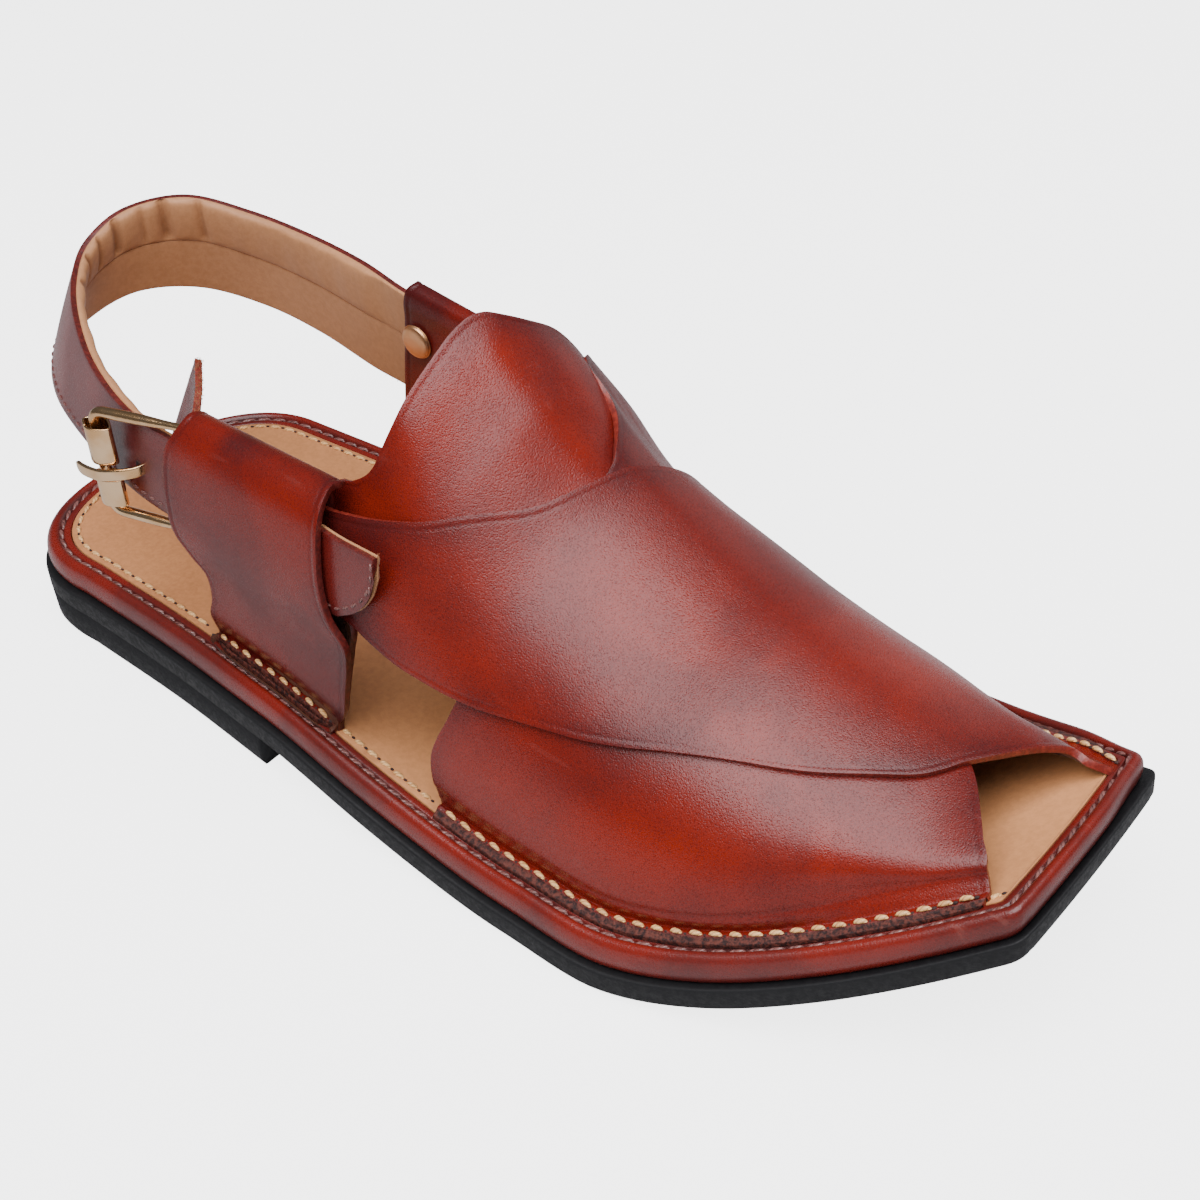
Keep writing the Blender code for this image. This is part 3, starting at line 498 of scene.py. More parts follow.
def makeWearGroup():
    # Scuffs, dust and stains over a plain surface.
    group, given, out = newGroup("handling", {"Scale": 60.0, "Amount": 0.5}, ("Stain", "Scuff"))
    place = objectPlace(group)
    stain = ramp(group, noise(group, place, given["Scale"], 6.0, 0.7), 0.5, 0.72)
    scuff = ramp(group, streaks(group, place, (60.0, 480.0, 200.0), 3.0, 0.5), 0.66, 0.76)
    setInputs(group, out, {"Stain": times(group, stain, given["Amount"]),
                           "Scuff": times(group, scuff, given["Amount"])})
    return group


def makeFibreGroup():
    # Raw cut leather: crumbs and short fibres.
    group, given, out = newGroup("rawFibre", {"Scale": 800.0}, ("Tone", "Height"))
    crumb = noise(group, objectPlace(group), given["Scale"], 5.0, 0.75)
    setInputs(group, out, {"Tone": ramp(group, crumb, 0.4, 0.62), "Height": crumb})
    return group


hideGroup = makeLeatherGroup()
wearGroup = makeWearGroup()
fibreGroup = makeFibreGroup()


def newMaterial(name):
    material = bpy.data.materials.new(name)
    material.use_nodes = True
    return material, material.node_tree


def finishMaterial(material, inputs, height, depth):
    # The shader's values, and a bump whose depth is in metres.
    tree = material.node_tree
    bump = addNode(tree, "Bump", {"Height": height, "Distance": depth, "Strength": 1.0}).outputs[0]
    setInputs(tree, tree.nodes["Principled BSDF"], {**inputs, "Normal": bump})
    return material


# The plain hide, and what differs on each part.
hideLook = {"cloud": 0.6, "cloudScale": 26.0, "pore": 0.4, "coat": 0.0, "coatRoughness": 0.3, "grain": 0.00005,
            "wear": 0.1}
looks = {
    "upper": {"bright": (0.2, 0.0112, 0.004, 1), "deep": (0.06, 0.0055, 0.0055, 1), "cloudScale": 22.0,
              "roughness": 0.22, "gloss": 0.38, "scuff": (0.25, 0.06, 0.05, 1)},
    "loop": {"bright": (0.165, 0.0102, 0.0047, 1), "deep": (0.055, 0.006, 0.006, 1), "cloud": 0.65,
             "roughness": 0.24, "gloss": 0.27, "scuff": (0.22, 0.06, 0.05, 1)},
    "strap": {"bright": (0.15, 0.012, 0.008, 1), "deep": (0.055, 0.0075, 0.008, 1), "cloud": 0.5, "pore": 0.3,
              "roughness": 0.27, "gloss": 0.5, "coat": 0.12, "coatRoughness": 0.28, "grain": 0.00004,
              "wear": 0.15, "scuff": (0.22, 0.07, 0.06, 1)},
    "rand": {"bright": (0.165, 0.0112, 0.0062, 1), "deep": (0.055, 0.007, 0.006, 1), "cloudScale": 40.0,
             "pore": 0.15, "roughness": 0.24, "gloss": 0.45, "coat": 0.1, "coatRoughness": 0.2,
             "grain": 0.00004, "wear": 0.25, "scuff": (0.22, 0.07, 0.055, 1)},
}


def hideMaterial(part):
    # Smooth grain leather. A vertex attribute darkens it with painted shade in folds, creases, hidden areas and
    # towards the sole, and along darker rims; raw marks the cut flange.
    look = {**hideLook, **looks[part]}
    material, tree = newMaterial(part + "Hide")
    raw = attributeOf(tree, "raw")
    hide = addGroup(tree, hideGroup, {"Bright": look["bright"], "Deep": look["deep"],
                                      "Shade And Tone": attributeOf(tree, "darken"), "Cloud": look["cloud"],
                                      "Cloud Scale": look["cloudScale"], "Pore": look["pore"]})
    scuff = addGroup(tree, wearGroup, {"Scale": 45.0, "Amount": look["wear"]})["Scuff"]
    fibre = addGroup(tree, fibreGroup, {"Scale": 1000.0})
    colour = mixColour(tree, scuff, hide["Color"], look["scuff"])
    cutTone = mixColour(tree, fibre["Tone"], (0.013, 0.0035, 0.0035, 1), (0.11, 0.027, 0.018, 1))
    rough = ramp(tree, hide["Cloud"], 0.0, 1.0, look["roughness"] + 0.04, look["roughness"] - 0.03)
    gloss = mathNode(tree, "ADD", times(tree, hide["Speck"], -look["gloss"]), look["gloss"])
    return finishMaterial(material, {
        "Base Color": mixColour(tree, raw, colour, cutTone),
        "Roughness": addUp(tree, (rough, 1.0), (hide["Height"], 0.16), (scuff, 0.15), (raw, 0.4)),
        "Coat Weight": look["coat"], "Coat Roughness": look["coatRoughness"], "Specular IOR Level": gloss,
    }, addUp(tree, (hide["Height"], 1.0), (times(tree, fibre["Height"], raw), 5.0), clamp=False), look["grain"])


def cutEdgeMaterial(name, colour, dark, rough):
    # Painted or raw cut edge of a hide.
    material, tree = newMaterial(name)
    fibre = addGroup(tree, fibreGroup, {"Scale": 900.0})
    return finishMaterial(material, {"Base Color": mixColour(tree, fibre["Tone"], dark, colour),
                                     "Roughness": rough}, fibre["Height"], 0.00015)


def suedeMaterial(name, colour, dark, stain, nap):
    # Tan lining or insole: short nap, needle marks and handling stains.
    material, tree = newMaterial(name)
    place = objectPlace(tree)
    nappy = noise(tree, place, 620.0, 5.0, 0.7)
    soft = noise(tree, place, 38.0, 4.0)
    stains = addGroup(tree, wearGroup, {"Scale": 75.0, "Amount": stain})["Stain"]
    cloudy, needled = ramp(tree, soft, 0.3, 0.7, 1.0, 0.0), ramp(tree, nappy, 0.35, 0.65, 1.0, 0.0)
    # The vertex attribute adds painted shade at the lining's seam and puckers, and a darker rim and heel on the
    # insole.
    shade = addUp(tree, (cloudy, 0.22), (needled, 0.2), (stains, 0.5), (attributeOf(tree, "darken"), 1.0))
    return finishMaterial(material, {
        "Base Color": mixColour(tree, shade, colour, dark), "Roughness": 0.52, "Specular IOR Level": 0.3,
        "Sheen Weight": 0.06, "Sheen Roughness": 0.4}, nappy, nap)


def threadMaterial(name, colour, dark):
    # Waxed thread: plies run aslant round each stitch, on the stitch's own UV map, with dirt and with painted
    # shade in the grooves between plies.
    material, tree = newMaterial(name)
    place = addNode(tree, "TexCoord").outputs
    across = addNode(tree, "SeparateXYZ", {0: place["UV"]}).outputs
    twist = addUp(tree, (across[0], 2.0), (across[1], 3.0), clamp=False)
    ply = times(tree, mathNode(tree, "PINGPONG", twist, 0.5), 2.0)
    dirt = ramp(tree, noise(tree, place["Object"], 260.0, 3.0), 0.4, 0.7)
    # Dirt, and painted shade darkening the grooves between plies.
    tone = addUp(tree, (dirt, 0.4), (ramp(tree, ply, 0.0, 0.4, 0.6, 0.0), 1.0))
    return finishMaterial(material, {"Base Color": mixColour(tree, tone, colour, dark), "Roughness": 0.3},
                          ply, 0.00015)


def rubberMaterial(name):
    # Moulded rubber with a pebbled skin, dust and long scrapes.
    material, tree = newMaterial(name)
    place = objectPlace(tree)
    pebble = noise(tree, place, 700.0, 5.0, 0.7)
    scrape = streaks(tree, place, (40.0, 40.0, 700.0), 4.0)
    dust = addUp(tree, (ramp(tree, pebble, 0.62, 0.74), 0.5), (ramp(tree, scrape, 0.55, 0.75), 0.08))
    return finishMaterial(material, {
        "Base Color": mixColour(tree, dust, (0.006, 0.0062, 0.007, 1), (0.02, 0.02, 0.023, 1)),
        "Roughness": ramp(tree, pebble, 0.3, 0.7, 0.5, 0.72), "Specular IOR Level": 0.3,
    }, addUp(tree, (pebble, 0.6), (scrape, 0.5), clamp=False), 0.0002)


def goldMaterial(name, colour, rough):
    # Polished plating, warmer where it is handled, with fine scratches.
    material, tree = newMaterial(name)
    place = objectPlace(tree)
    smudge = noise(tree, place, 130.0, 4.0)
    worn = (colour[0] * 0.82, colour[1] * 0.7, colour[2] * 0.55, 1)
    return finishMaterial(material, {
        "Base Color": mixColour(tree, ramp(tree, smudge, 0.35, 0.7), colour, worn), "Metallic": 1.0,
        "Roughness": ramp(tree, smudge, 0.3, 0.75, rough, rough + 0.14),
    }, streaks(tree, place, (300.0, 1500.0, 2600.0), 2.0), 0.00001)


upperHide = hideMaterial("upper")
loopHide = hideMaterial("loop")
randHide = hideMaterial("rand")
strapHide = hideMaterial("strap")
redEdge = cutEdgeMaterial("paintedEdge", (0.24, 0.028, 0.016, 1), (0.13, 0.012, 0.008, 1), 0.35)
darkEdge = cutEdgeMaterial("darkEdge", (0.12, 0.014, 0.01, 1), (0.055, 0.007, 0.006, 1), 0.35)
tanFibre = cutEdgeMaterial("tanFibre", (0.4, 0.17, 0.075, 1), (0.2, 0.07, 0.03, 1), 0.8)
fleshSide = suedeMaterial("fleshSide", (0.13, 0.045, 0.022, 1), (0.06, 0.018, 0.01, 1), 0.4, 0.0002)
tanInsole = suedeMaterial("tanInsole", (0.6, 0.265, 0.108, 1), (0.26, 0.1, 0.038, 1), 0.25, 0.00005)
tanLining = suedeMaterial("tanLining", (0.46, 0.22, 0.103, 1), (0.22, 0.09, 0.036, 1), 0.3, 0.0001)
creamThread = threadMaterial("creamThread", (0.74, 0.44, 0.19, 1), (0.34, 0.14, 0.045, 1))
darkThread = threadMaterial("darkThread", (0.2, 0.085, 0.075, 1), (0.04, 0.013, 0.013, 1))
# Painted shade for needle holes and the strap's pierced hole.
holeShade = cutEdgeMaterial("needleHoleShade", (0.05, 0.018, 0.014, 1), (0.015, 0.006, 0.005, 1), 0.8)
blackRubber = rubberMaterial("blackRubber")
paleGold = goldMaterial("paleGold", (0.82, 0.57, 0.34, 1), 0.14)
copperGold = goldMaterial("copperGold", (0.8, 0.45, 0.24, 1), 0.34)
print("finishes ready")


# Stitches: small beads of thread set along a line, their ends drawn down, joined into one mesh.
def stitchRow(bm, spots, ways, ups, size, tilt=0.0, slot=0, arch=0.12):
    length, width, height = size
    if not bm.loops.layers.uv:
        bm.loops.layers.uv.new("UVMap")
    for spot, way, up in zip(spots, ways, np.broadcast_to(ups, (len(spots), 3))):
        way = Vector(way).normalized()
        up = Vector(up)
        up = (up - way * up.dot(way)).normalized()
        side = up.cross(way)
        turned = (way * math.cos(tilt) + side * math.sin(tilt)).normalized()
        side = up.cross(turned)
        grow = dice.uniform(0.92, 1.08)
        verts = bmesh.ops.create_uvsphere(bm, u_segments=8, v_segments=7, radius=1.0, calc_uvs=True)["verts"]
        for vert in verts:
            across, above, along = vert.co
            place = (turned * (along * length * 0.5 * grow) + side * (across * width * 0.5)
                     + up * (above * height * 0.5 - arch * length * along ** 4))
            vert.co = toWorld(Vector(spot) + place)
        dressFaces(verts, slot)


def addStitches(bm, spots, ways, look, tilt):
    # Stitches with a small dark bead between each two, as painted shade of a needle hole.
    stitchRow(bm, spots, ways, (0, 0, 1), look["stitch"], tilt)
    holes = spots + ways * look["pitch"] * 0.5 - (0, 0, look["drop"])
    stitchRow(bm, holes, ways, (0, 0, 1), look["hole"], 0.0, 1, 0.0)


def tuftRow(bm, spots, way, size, count):
    # Short loose fibres that stand off a cut edge.
    length, radius = size
    for spot in spots:
        for _ in range(count):
            stray = Vector([dice.gauss(0.0, 0.55) for _ in range(3)]) + Vector(way)
            verts = bmesh.ops.create_cone(bm, segments=3, radius1=radius, radius2=radius * 0.25,
                                          depth=length * dice.uniform(0.5, 1.3))["verts"]
            turn = stray.to_track_quat("Z", "Y").to_matrix()
            start = Vector(spot) + Vector([dice.uniform(-0.35, 0.35) for _ in range(3)])
            for vert in verts:
                vert.co = toWorld(start + turn @ vert.co)
            dressFaces(verts)


# Sole: slab with a ledge, heel block with a square breast.
outsole = {
    "slab": ((0.9, 0.0), (0.35, 0.0), (0.08, -0.25), (0.0, -0.8), (0.0, -4.9), (0.2, -5.35), (0.8, -5.5)),
    # inset and height of the heel block's rings under the first
    "heelRings": ((0.3, 1.2), (0.75, 0.25), (1.3, 0.0)),
}


def makeOutsole():
    slab = outsole["slab"]
    bm = gridMesh(wallSheet(slab))
    addGrid(bm, deckSheet(*slab[0], 6))
    addGrid(bm, deckSheet(*slab[-1], 6))
    closeUp(bm)
    # Heel block: the same outline down to the floor, cut square at its breast.
    breast = sole["breast"]
    count = int(np.sum(halfPlan(0.0, -1)[:, 0] < breast - 0.4))

    def heelRing(inset, z=None):
        halves = []
        for side in (-1, 1):
            half = halfPlan(inset, side)[:count + 1]
            half[count] = (breast, float(edge(breast, side)) - side * inset)
            level = rise(half[:, 0]) + 1.0 if z is None else np.full(count + 1, z)
            halves.append(np.column_stack([half, level]))
        return halves

    levels = np.array([heelRing(0.02)] + [heelRing(*ring) for ring in outsole["heelRings"]])
    share = np.linspace(0.0, 1.0, 6)[None, :, None]
    addGrid(bm, levels[:, 0])
    addGrid(bm, levels[:, 1])
    for lateral, medial in ((levels[0, 0], levels[0, 1]), (levels[-1, 0], levels[-1, 1]),
                            (levels[:, 0, -1], levels[:, 1, -1])):
        addGrid(bm, between(lateral[:, None], medial[:, None], share))
    closeUp(bm)
    finishPiece(bm, "outsoleRubber", [blackRubber], "outsole")


makeOutsole()

# Rand: rolled bead, groove with its dark stitches, and the flat border beside the insole.
rand = {
    "profile": ((5.0, 0.1), (2.6, 0.15), (1.9, 0.6), (1.45, 1.6), (1.25, 2.8), (1.25, 4.2), (1.5, 5.6),
                (2.0, 6.7), (2.7, 7.4), (3.4, 7.65), (4.0, 7.45), (4.5, 6.9), (4.8, 6.35), (5.1, 6.2),
                (5.4, 6.5), (5.8, 6.85), (6.6, 6.9), (7.1, 6.7), (7.3, 5.4)),
    "stitchInset": 4.95, "stitchHeight": 6.55, "pitch": 4.2, "stitch": (4.3, 1.15, 0.9), "tilt": 0.2,
    # the rolled corner at the medial toe is drawn back, in and down
    "corner": ((264.0, 284.0), (6.0, 22.0)), "cornerPull": (0.9, 1.0, 0.9),
    # insets of the groove's sides, and the strength of the painted shade in it
    "groove": ((3.9, 4.8), (5.3, 5.9)), "grooveShade": 0.75,
}


def makeRand():
    fine = smooth(rand["profile"], 46)
    inset = fine[:, :1]
    sheet = wallSheet(fine)
    along, across = rand["corner"]
    corner = ease(*along, sheet[..., 0]) * ease(*across, sheet[..., 1])
    corner = corner * np.clip((6.0 - inset) / 2.5, 0.0, 1.0)
    sheet = sheet - corner[..., None] * np.array(rand["cornerPull"])
    # The groove is painted darker, as shade.
    into, outOf = rand["groove"]
    groove = ease(*into, inset) * (1 - ease(*outOf, inset))
    bm = gridMesh(sheet, darken=np.broadcast_to(rand["grooveShade"] * groove, sheet.shape[:2]))
    addGrid(bm, deckSheet(*rand["profile"][-1]))
    addGrid(bm, deckSheet(*rand["profile"][0]))
    closeUp(bm)
    finishPiece(bm, "randLeather", [randHide], "midsole")
    bm = bmesh.new()
    spots, ways = resample(planRing(rand["stitchInset"], rand["stitchHeight"]), rand["pitch"])
    stitchRow(bm, spots, ways, (0, 0, 1), rand["stitch"], rand["tilt"])
    finishPiece(bm, "randStitches", [darkThread])


makeRand()

# Insole: flat tan leather with a rounded rim and one row of cream stitches.
insole = {
    # inset and height of the rim's rows, how far the middle dips, and the tone of rim and heel
    "rim": ((7.35, 5.5), (7.35, 6.6), (7.45, 6.9), (7.75, 7.0)), "hollow": 0.5, "rimTone": 0.35,
    "heelTone": 0.3,
    "stitchInset": 9.0, "stitchHeight": 7.1, "pitch": 4.3, "stitch": (3.1, 1.15, 1.05), "tilt": 0.12,
    "hole": (1.0, 0.65, 0.4), "drop": 0.0,
    # where no stitches show along each side: under a loop, under a panel and at the toe
    "bare": {-1: ((70, 123), (153, 276), (277, 300)), 1: ((70, 130), (163, 300))},
}


def makeInsole():
    sheet = wallSheet(insole["rim"])
    bm = gridMesh(sheet, darken=np.full(sheet.shape[:2], insole["rimTone"]))
    deck = deckSheet(*insole["rim"][-1], 40, insole["hollow"])
    addGrid(bm, deck, darken=insole["heelTone"] * (1 - ease(108, 128, deck[..., 0])))
    addGrid(bm, deckSheet(*insole["rim"][0]))
    closeUp(bm)
    finishPiece(bm, "insoleLeather", [tanInsole], "insole")
    bm = bmesh.new()
    spots, ways = resample(planRing(insole["stitchInset"], insole["stitchHeight"]), insole["pitch"])
    shown = [not any(low < x < high for low, high in insole["bare"][-1 if y < 0 else 1]) for x, y, _ in spots]
    addStitches(bm, spots[shown], ways[shown], insole, insole["tilt"])
    finishPiece(bm, "insoleStitches", [creamThread, holeShade])


makeInsole()
print("sole, rand and insole ready")

# Lateral panel, under the other: rear edge x and turn, front edge x and turn.
underPanel = {
    "rows": ((155, 0, 275.5, 0), (154, 8, 275.3, 10), (158, 17, 274.9, 21), (161, 26, 273.4, 38),
             (162.5, 40, 271, 50), (163.5, 55, 268.3, 62), (164.8, 70, 264.3, 76), (166, 84, 259.5, 88),
             (163, 95, 251.5, 100), (158, 106, 240, 114), (153.5, 111, 224, 125), (148.5, 115, 205, 134),
             (144.5, 120.5, 188, 143), (141.5, 127.5, 174, 152), (138, 135, 163, 159.5), (134, 142, 152, 165),
             (128, 149, 139, 168), (121, 153, 127, 169)),
    "end": ((109, 33.2, 68.8, 112, 34.6, 43.6), (97, 34.4, 69.4, 98, 35.2, 44.6)),
    "side": -1, "outer": 1.6, "wall": 1.55, "rim": 0.18, "taper": 0.2, "tipFlat": 0.0, "mesh": (260, 84),
    # where the rear edge is drawn down on the dome: share along the panel, spread, depth
    "dip": (0.66, 0.09, 2.0),
}
# The top panel, given from its free end on the lateral side to its flange on the medial side.
topPanel = {
    "rows": ((123, 33, 131, 19), (133, 38, 145, 20), (145, 47, 159, 24), (156, 60, 176, 31), (161, 68, 191, 37),
             (164, 77, 208, 46), (166, 85, 223, 53), (167.5, 92, 237, 60), (169.2, 99, 252, 73),
             (170.5, 110, 258, 87), (170.5, 120, 263, 100), (169, 130, 268, 116), (169, 141, 271, 128),
             (168, 154, 274, 148), (165, 167, 278, 165), (164, 180, 280, 180)),
    "end": ((64, -19.8, 84.4, 54.5, -27.4, 57), (70.8, -26.4, 82.3, 66.5, -32.3, 56.6),
            (78.5, -34.6, 79.6, 78, -36, 55.6), (87, -35.3, 78.2, 88, -36.3, 55),
            (100, -37.6, 78, 103, -40.4, 54.6), (112, -38.8, 77.3, 117.5, -43.6, 54.2)),
    "side": 1, "outer": 3.2, "wall": 1.6, "rim": 0.2, "taper": 1.0, "tipFlat": 0.7, "mesh": (280, 84),
}
panelForm = {
    # how many rows rise straight near the toe, and where that begins; where a tip is flattened
    "straight": 7, "straightFrom": (225.0, 258.0), "tip": (267.0, 279.0), "pack": 0.82,
    # place and width of the crease beside the stitches, its depth, the strength of the painted shade in it, and
    # where it fades out
    "crease": (8.6, 0.8), "creaseDepth": 0.3, "creaseShade": 0.12, "creaseEnd": (225.0, 262.0),
}
panelStitch = {"row": 7.35, "lift": 0.3, "pitch": 4.4, "stitch": (3.2, 1.15, 1.1), "tilt": 0.1,
               "hole": (1.2, 0.8, 0.6), "drop": 0.55}
loopStitch = dict(panelStitch, pitch=4.8)


def panelControl(panel):
    # Control points: the stitched flange, the panel over the foot, and its free end.
    body = panelRows(panel["rows"])
    outer = panel["outer"] * (1 - panel["tipFlat"] * ease(*panelForm["tip"], body[..., 0]))
    if "dip" in panel:
        spot, spread, depth = panel["dip"]
        along = np.linspace(0.0, 1.0, body.shape[0])[:, None]
        outer = outer - depth * bell(along, spot, spread) * np.linspace(1.0, 0.0, body.shape[1])[None, :] ** 3
    body = withRaw(body + outward(body) * outer[..., None])
    if panel["side"] > 0:
        body = body[::-1]
    base = body[0, :, 0]
    turned = flangeRows(base, panel["side"], "panel", panel["taper"] * ease(base[-1] - 9.0, base[-1], base))
    # Near the toe, where the foot is low, the panel rises straight from its stitched edge.
    last = panelForm["straight"]
    for i in range(1, last):
        share = ease(*panelForm["straightFrom"], body[i, :, 0:1]) * (1 - ease(0.25, 1.0, i / last))
        body[i] = between(body[i], turned[-1] + (body[last] - turned[-1]) * (i / last), share)
    end = withRaw(bandRows(panel["end"]))
    if panel["side"] > 0:
        return np.concatenate([end, body[:0:-1], turned[::-1]])
    return np.concatenate([turned, body[1:], end])


def panelSheet(panel):
    return dense(panelControl(panel), *panel["mesh"], panelForm["pack"])


def flangeLine(control, fromEnd=False):
    # The line of stitches on the turned-out edge, a little above it.
    row = len(control) - 1 - panelStitch["row"] if fromEnd else panelStitch["row"]
    line = smooth(follow(np.arange(len(control)), control, np.array([row]))[0], 200)[:, :3]
    line[:, 2] += panelStitch["lift"] + 0.5 * ease(262.0, 275.0, line[:, 0])
    return line


def rimShade(away, amount):
    # Painted shade in the crease behind the bead.
    return amount * rimBead["tone"] * bell(away, *rimBead["shade"])


def makePanel(name, panel, shade, node=None):
    sheet = panelSheet(panel)
    raw = np.clip(sheet[..., 3], 0.0, 1.0)
    sheet = pressRim(sheet[..., :3], panel["rim"])
    away = edgeRun(sheet)
    # A soft crease runs beside the stitches, with painted shade in it.
    run = np.cumsum(np.linalg.norm(np.diff(sheet, axis=0), axis=2), axis=0)
    run = np.concatenate([np.zeros((1, sheet.shape[1])), run])
    run = run[-1] - run if panel["side"] > 0 else run
    crease = bell(run, *panelForm["crease"]) * (1 - 0.8 * ease(*panelForm["creaseEnd"], sheet[..., 0]))
    sheet = sheet - outward(sheet) * (panelForm["creaseDepth"] * crease)[..., None]
    tone = shade(sheet) + rimShade(away, panel["rim"]) + panelForm["creaseShade"] * crease
    bm = gridMesh(sheet, darken=np.clip(tone, 0, 1), raw=raw)
    closeUp(bm, False)
    piece = finishPiece(bm, name, [upperHide, redEdge, fleshSide], node, footMiddle)
    thicken(piece, panel["wall"], 0.5)


def shadeTop(sheet):
    # Darker towards both long edges, and painted shade at the rear end where it runs under the lateral loop.
    return 0.3 * edgeMask(sheet, 16.0) ** 2 + 0.35 * (1 - ease(128, 150, sheet[..., 0]))


def lowShade(sheet, reach):
    # Painted shade, darker towards the sole.
    return 1.0 - ease(0.0, reach, sheet[..., 2] - soleTop(sheet[..., 0]) - 9.0)


def shadeUnder(sheet):
    # Darker towards both long edges, painted shade towards the sole, and a painted shadow high up where the top
    # panel's edge lies over it.
    return (0.25 * edgeMask(sheet, 12.0) ** 2 + 0.22 * lowShade(sheet, 14.0)
            + 0.25 * ease(30, 42, sheet[..., 2] - rise(sheet[..., 0])))


makePanel("upperTop", topPanel, shadeTop, "upper")
makePanel("upperUnder", underPanel, shadeUnder)


def makeStitches(name, lines, look):
    bm = bmesh.new()
    for line, side in lines:
        spots, ways = resample(line, look["pitch"])
        addStitches(bm, spots, ways, look, look["tilt"] * side)
    finishPiece(bm, name, [creamThread, holeShade])


makeStitches("panelStitches", [(flangeLine(panelControl(panel), panel["side"] > 0)[3:-2], panel["side"])
                               for panel in (underPanel, topPanel)], panelStitch)
print("panels ready")

# Tongue: the domed flap under both panels. Turn over the foot, rear edge x, hidden front edge x.
tongue = {
    "rows": ((27, 126, 150), (30, 121.5, 156), (33, 120, 161), (36, 121.5, 164), (38.5, 125.3, 167),
             (44, 129.5, 174), (53, 131.6, 179), (62, 132.4, 182), (72, 133, 184), (81, 133, 185),
             (88, 133.7, 185), (96, 137, 185), (104, 139.5, 184), (114, 140.7, 182), (122, 142, 180),
             (131, 142.5, 176), (140, 141, 170), (146, 138, 162), (149, 135, 154)),
    "outer": -0.4, "drop": 2.2, "lift": 0.7, "wall": 1.6, "mesh": (170, 80, 0.5), "bead": 0.3,
    # The line of the soft ridge over the dome: x, turn.
    "ridge": ((125, 90), (136, 86), (145.5, 83), (152, 83), (162, 84), (186, 84)),
}


def makeTongue():
    table = smooth(tongue["rows"], 3 * len(tongue["rows"]))
    x = between(table[:, 1:2], table[:, 2:3], np.linspace(0, 1, 12)[None, :])
    turn = np.radians(np.broadcast_to(table[:, 0:1], x.shape))
    sheet = overFoot(x, turn)
    degrees = np.degrees(turn)
    low = 1.0 - ease(38, 60, degrees) + ease(120, 142, degrees)
    drop = tongue["drop"] * low * (1 - ease(128, 146, x))
    lift = tongue["lift"] * (1 - ease(133.0, 146.0, x)) * ease(42, 60, degrees) * (1 - ease(118, 134, degrees))
    sheet = sheet + outward(sheet) * (tongue["outer"] - drop + lift)[..., None]
    sheet = dense(np.concatenate([sheet, degrees[..., None]], axis=-1), *tongue["mesh"])
    degrees, sheet = sheet[..., 3], sheet[..., :3]
    off = degrees - column(tongue["ridge"], 1, sheet[..., 0])
    crest = (0.4 * bell(off, 0.0, 5.0) - 0.2 * bell(off, 12.0, 6.0)) * ease(133, 141, sheet[..., 0])
    sheet = pressRim(sheet + outward(sheet) * crest[..., None], tongue["bead"])
    # Darker towards the edges, and painted shade on the band just past the ridge.
    shade = 0.3 * edgeMask(sheet, 14.0) ** 2 + 0.25 * ease(1.0, 7.0, off) * (1 - ease(12, 26, off))
    bm = gridMesh(sheet, darken=np.clip(shade, 0, 1))
    piece = finishPiece(bm, "tongueLeather", [upperHide, darkEdge, fleshSide], "tongue",
                        footMiddle)
    thicken(piece, tongue["wall"], 0.45)


makeTongue()
print("tongue ready")

# Side loops, each one strap folded over: z, x, outer y, inner y at the rear end, then at the front end.
lateralLoop = {
    "side": -1, "wall": 1.6,
    "rows": ((30.2, 78.2, -40.6, -34.2, 29.0, 128.0, -47.4, -42.0),
             (37.2, 81.4, -41.6, -33.0, 36.5, 130.0, -47.7, -41.8),
             (44.6, 82.4, -42.6, -32.3, 44.0, 132.0, -48.0, -41.6),
             (48.9, 79.2, -43.2, -31.4, 50.8, 133.3, -48.9, -41.3),
             (55.0, 75.2, -43.7, -30.4, 57.0, 130.0, -49.4, -40.8),
             (64.2, 75.0, -43.7, -30.0, 65.7, 128.8, -49.1, -38.4),
             (73.2, 76.1, -43.1, -30.0, 75.0, 128.6, -47.7, -35.2),
             (78.0, 77.4, -42.2, -30.4, 79.8, 128.3, -46.0, -34.4),
             (82.1, 79.6, -40.1, -31.8, 83.0, 127.4, -42.9, -34.9),
             (84.8, 80.8, -36.4, -36.4, 84.6, 126.4, -38.6, -38.6)),
    "ends": (76.3, 122.0), "innerEnd": 122.8,
    "innerBase": ((21.3, -35.6, 18.8, -43.4), (24.6, -35.4, 22.2, -43.2)),
    "trim": 7.0,
}
medialLoop = {
    "side": 1, "wall": 1.6,
    "rows": ((31, 73.3, 36.5, 30.9, 30, 131.4, 37.1, 32), (38, 74.5, 37.6, 30.6, 38.3, 130.6, 37.2, 31.6),
             (43, 75.3, 38.4, 30.5, 44, 126, 37.2, 31), (50.4, 76.6, 38.9, 30.4, 51, 123.6, 37, 30.2),
             (59, 78, 39, 30.3, 59, 121.9, 36.7, 29.2), (67.5, 79.5, 38.7, 30.2, 67, 121.2, 35.8, 28.2),
             (75.5, 80.8, 37.8, 30.2, 73, 121.6, 34.8, 27.5), (80, 81.5, 36.6, 29.8, 77.5, 122.4, 33.2, 27.4),
             (83.6, 82.3, 35, 30.6, 80, 123.2, 31.6, 28), (84.8, 83.4, 32.9, 32.9, 80.8, 123.6, 29.8, 29.8)),
    "ends": (71.8, 131.2), "innerEnd": 131.2,
    "innerBase": ((21.3, 31.6, 18.4, 32.8), (24.6, 31.4, 22.4, 32.6)),
    "trim": 0.0,
}


loopForm = {
    # sections across the strap, mesh and packing, strength of the bead, and how far both edges draw in
    "sections": 24, "mesh": (140, 64, 0.75), "bead": 0.5, "narrow": 0.6,
    # heights between which the inner layer is cut shorter
    "trimFrom": (52.0, 66.0), "trimTo": (80.0, 84.0),
}


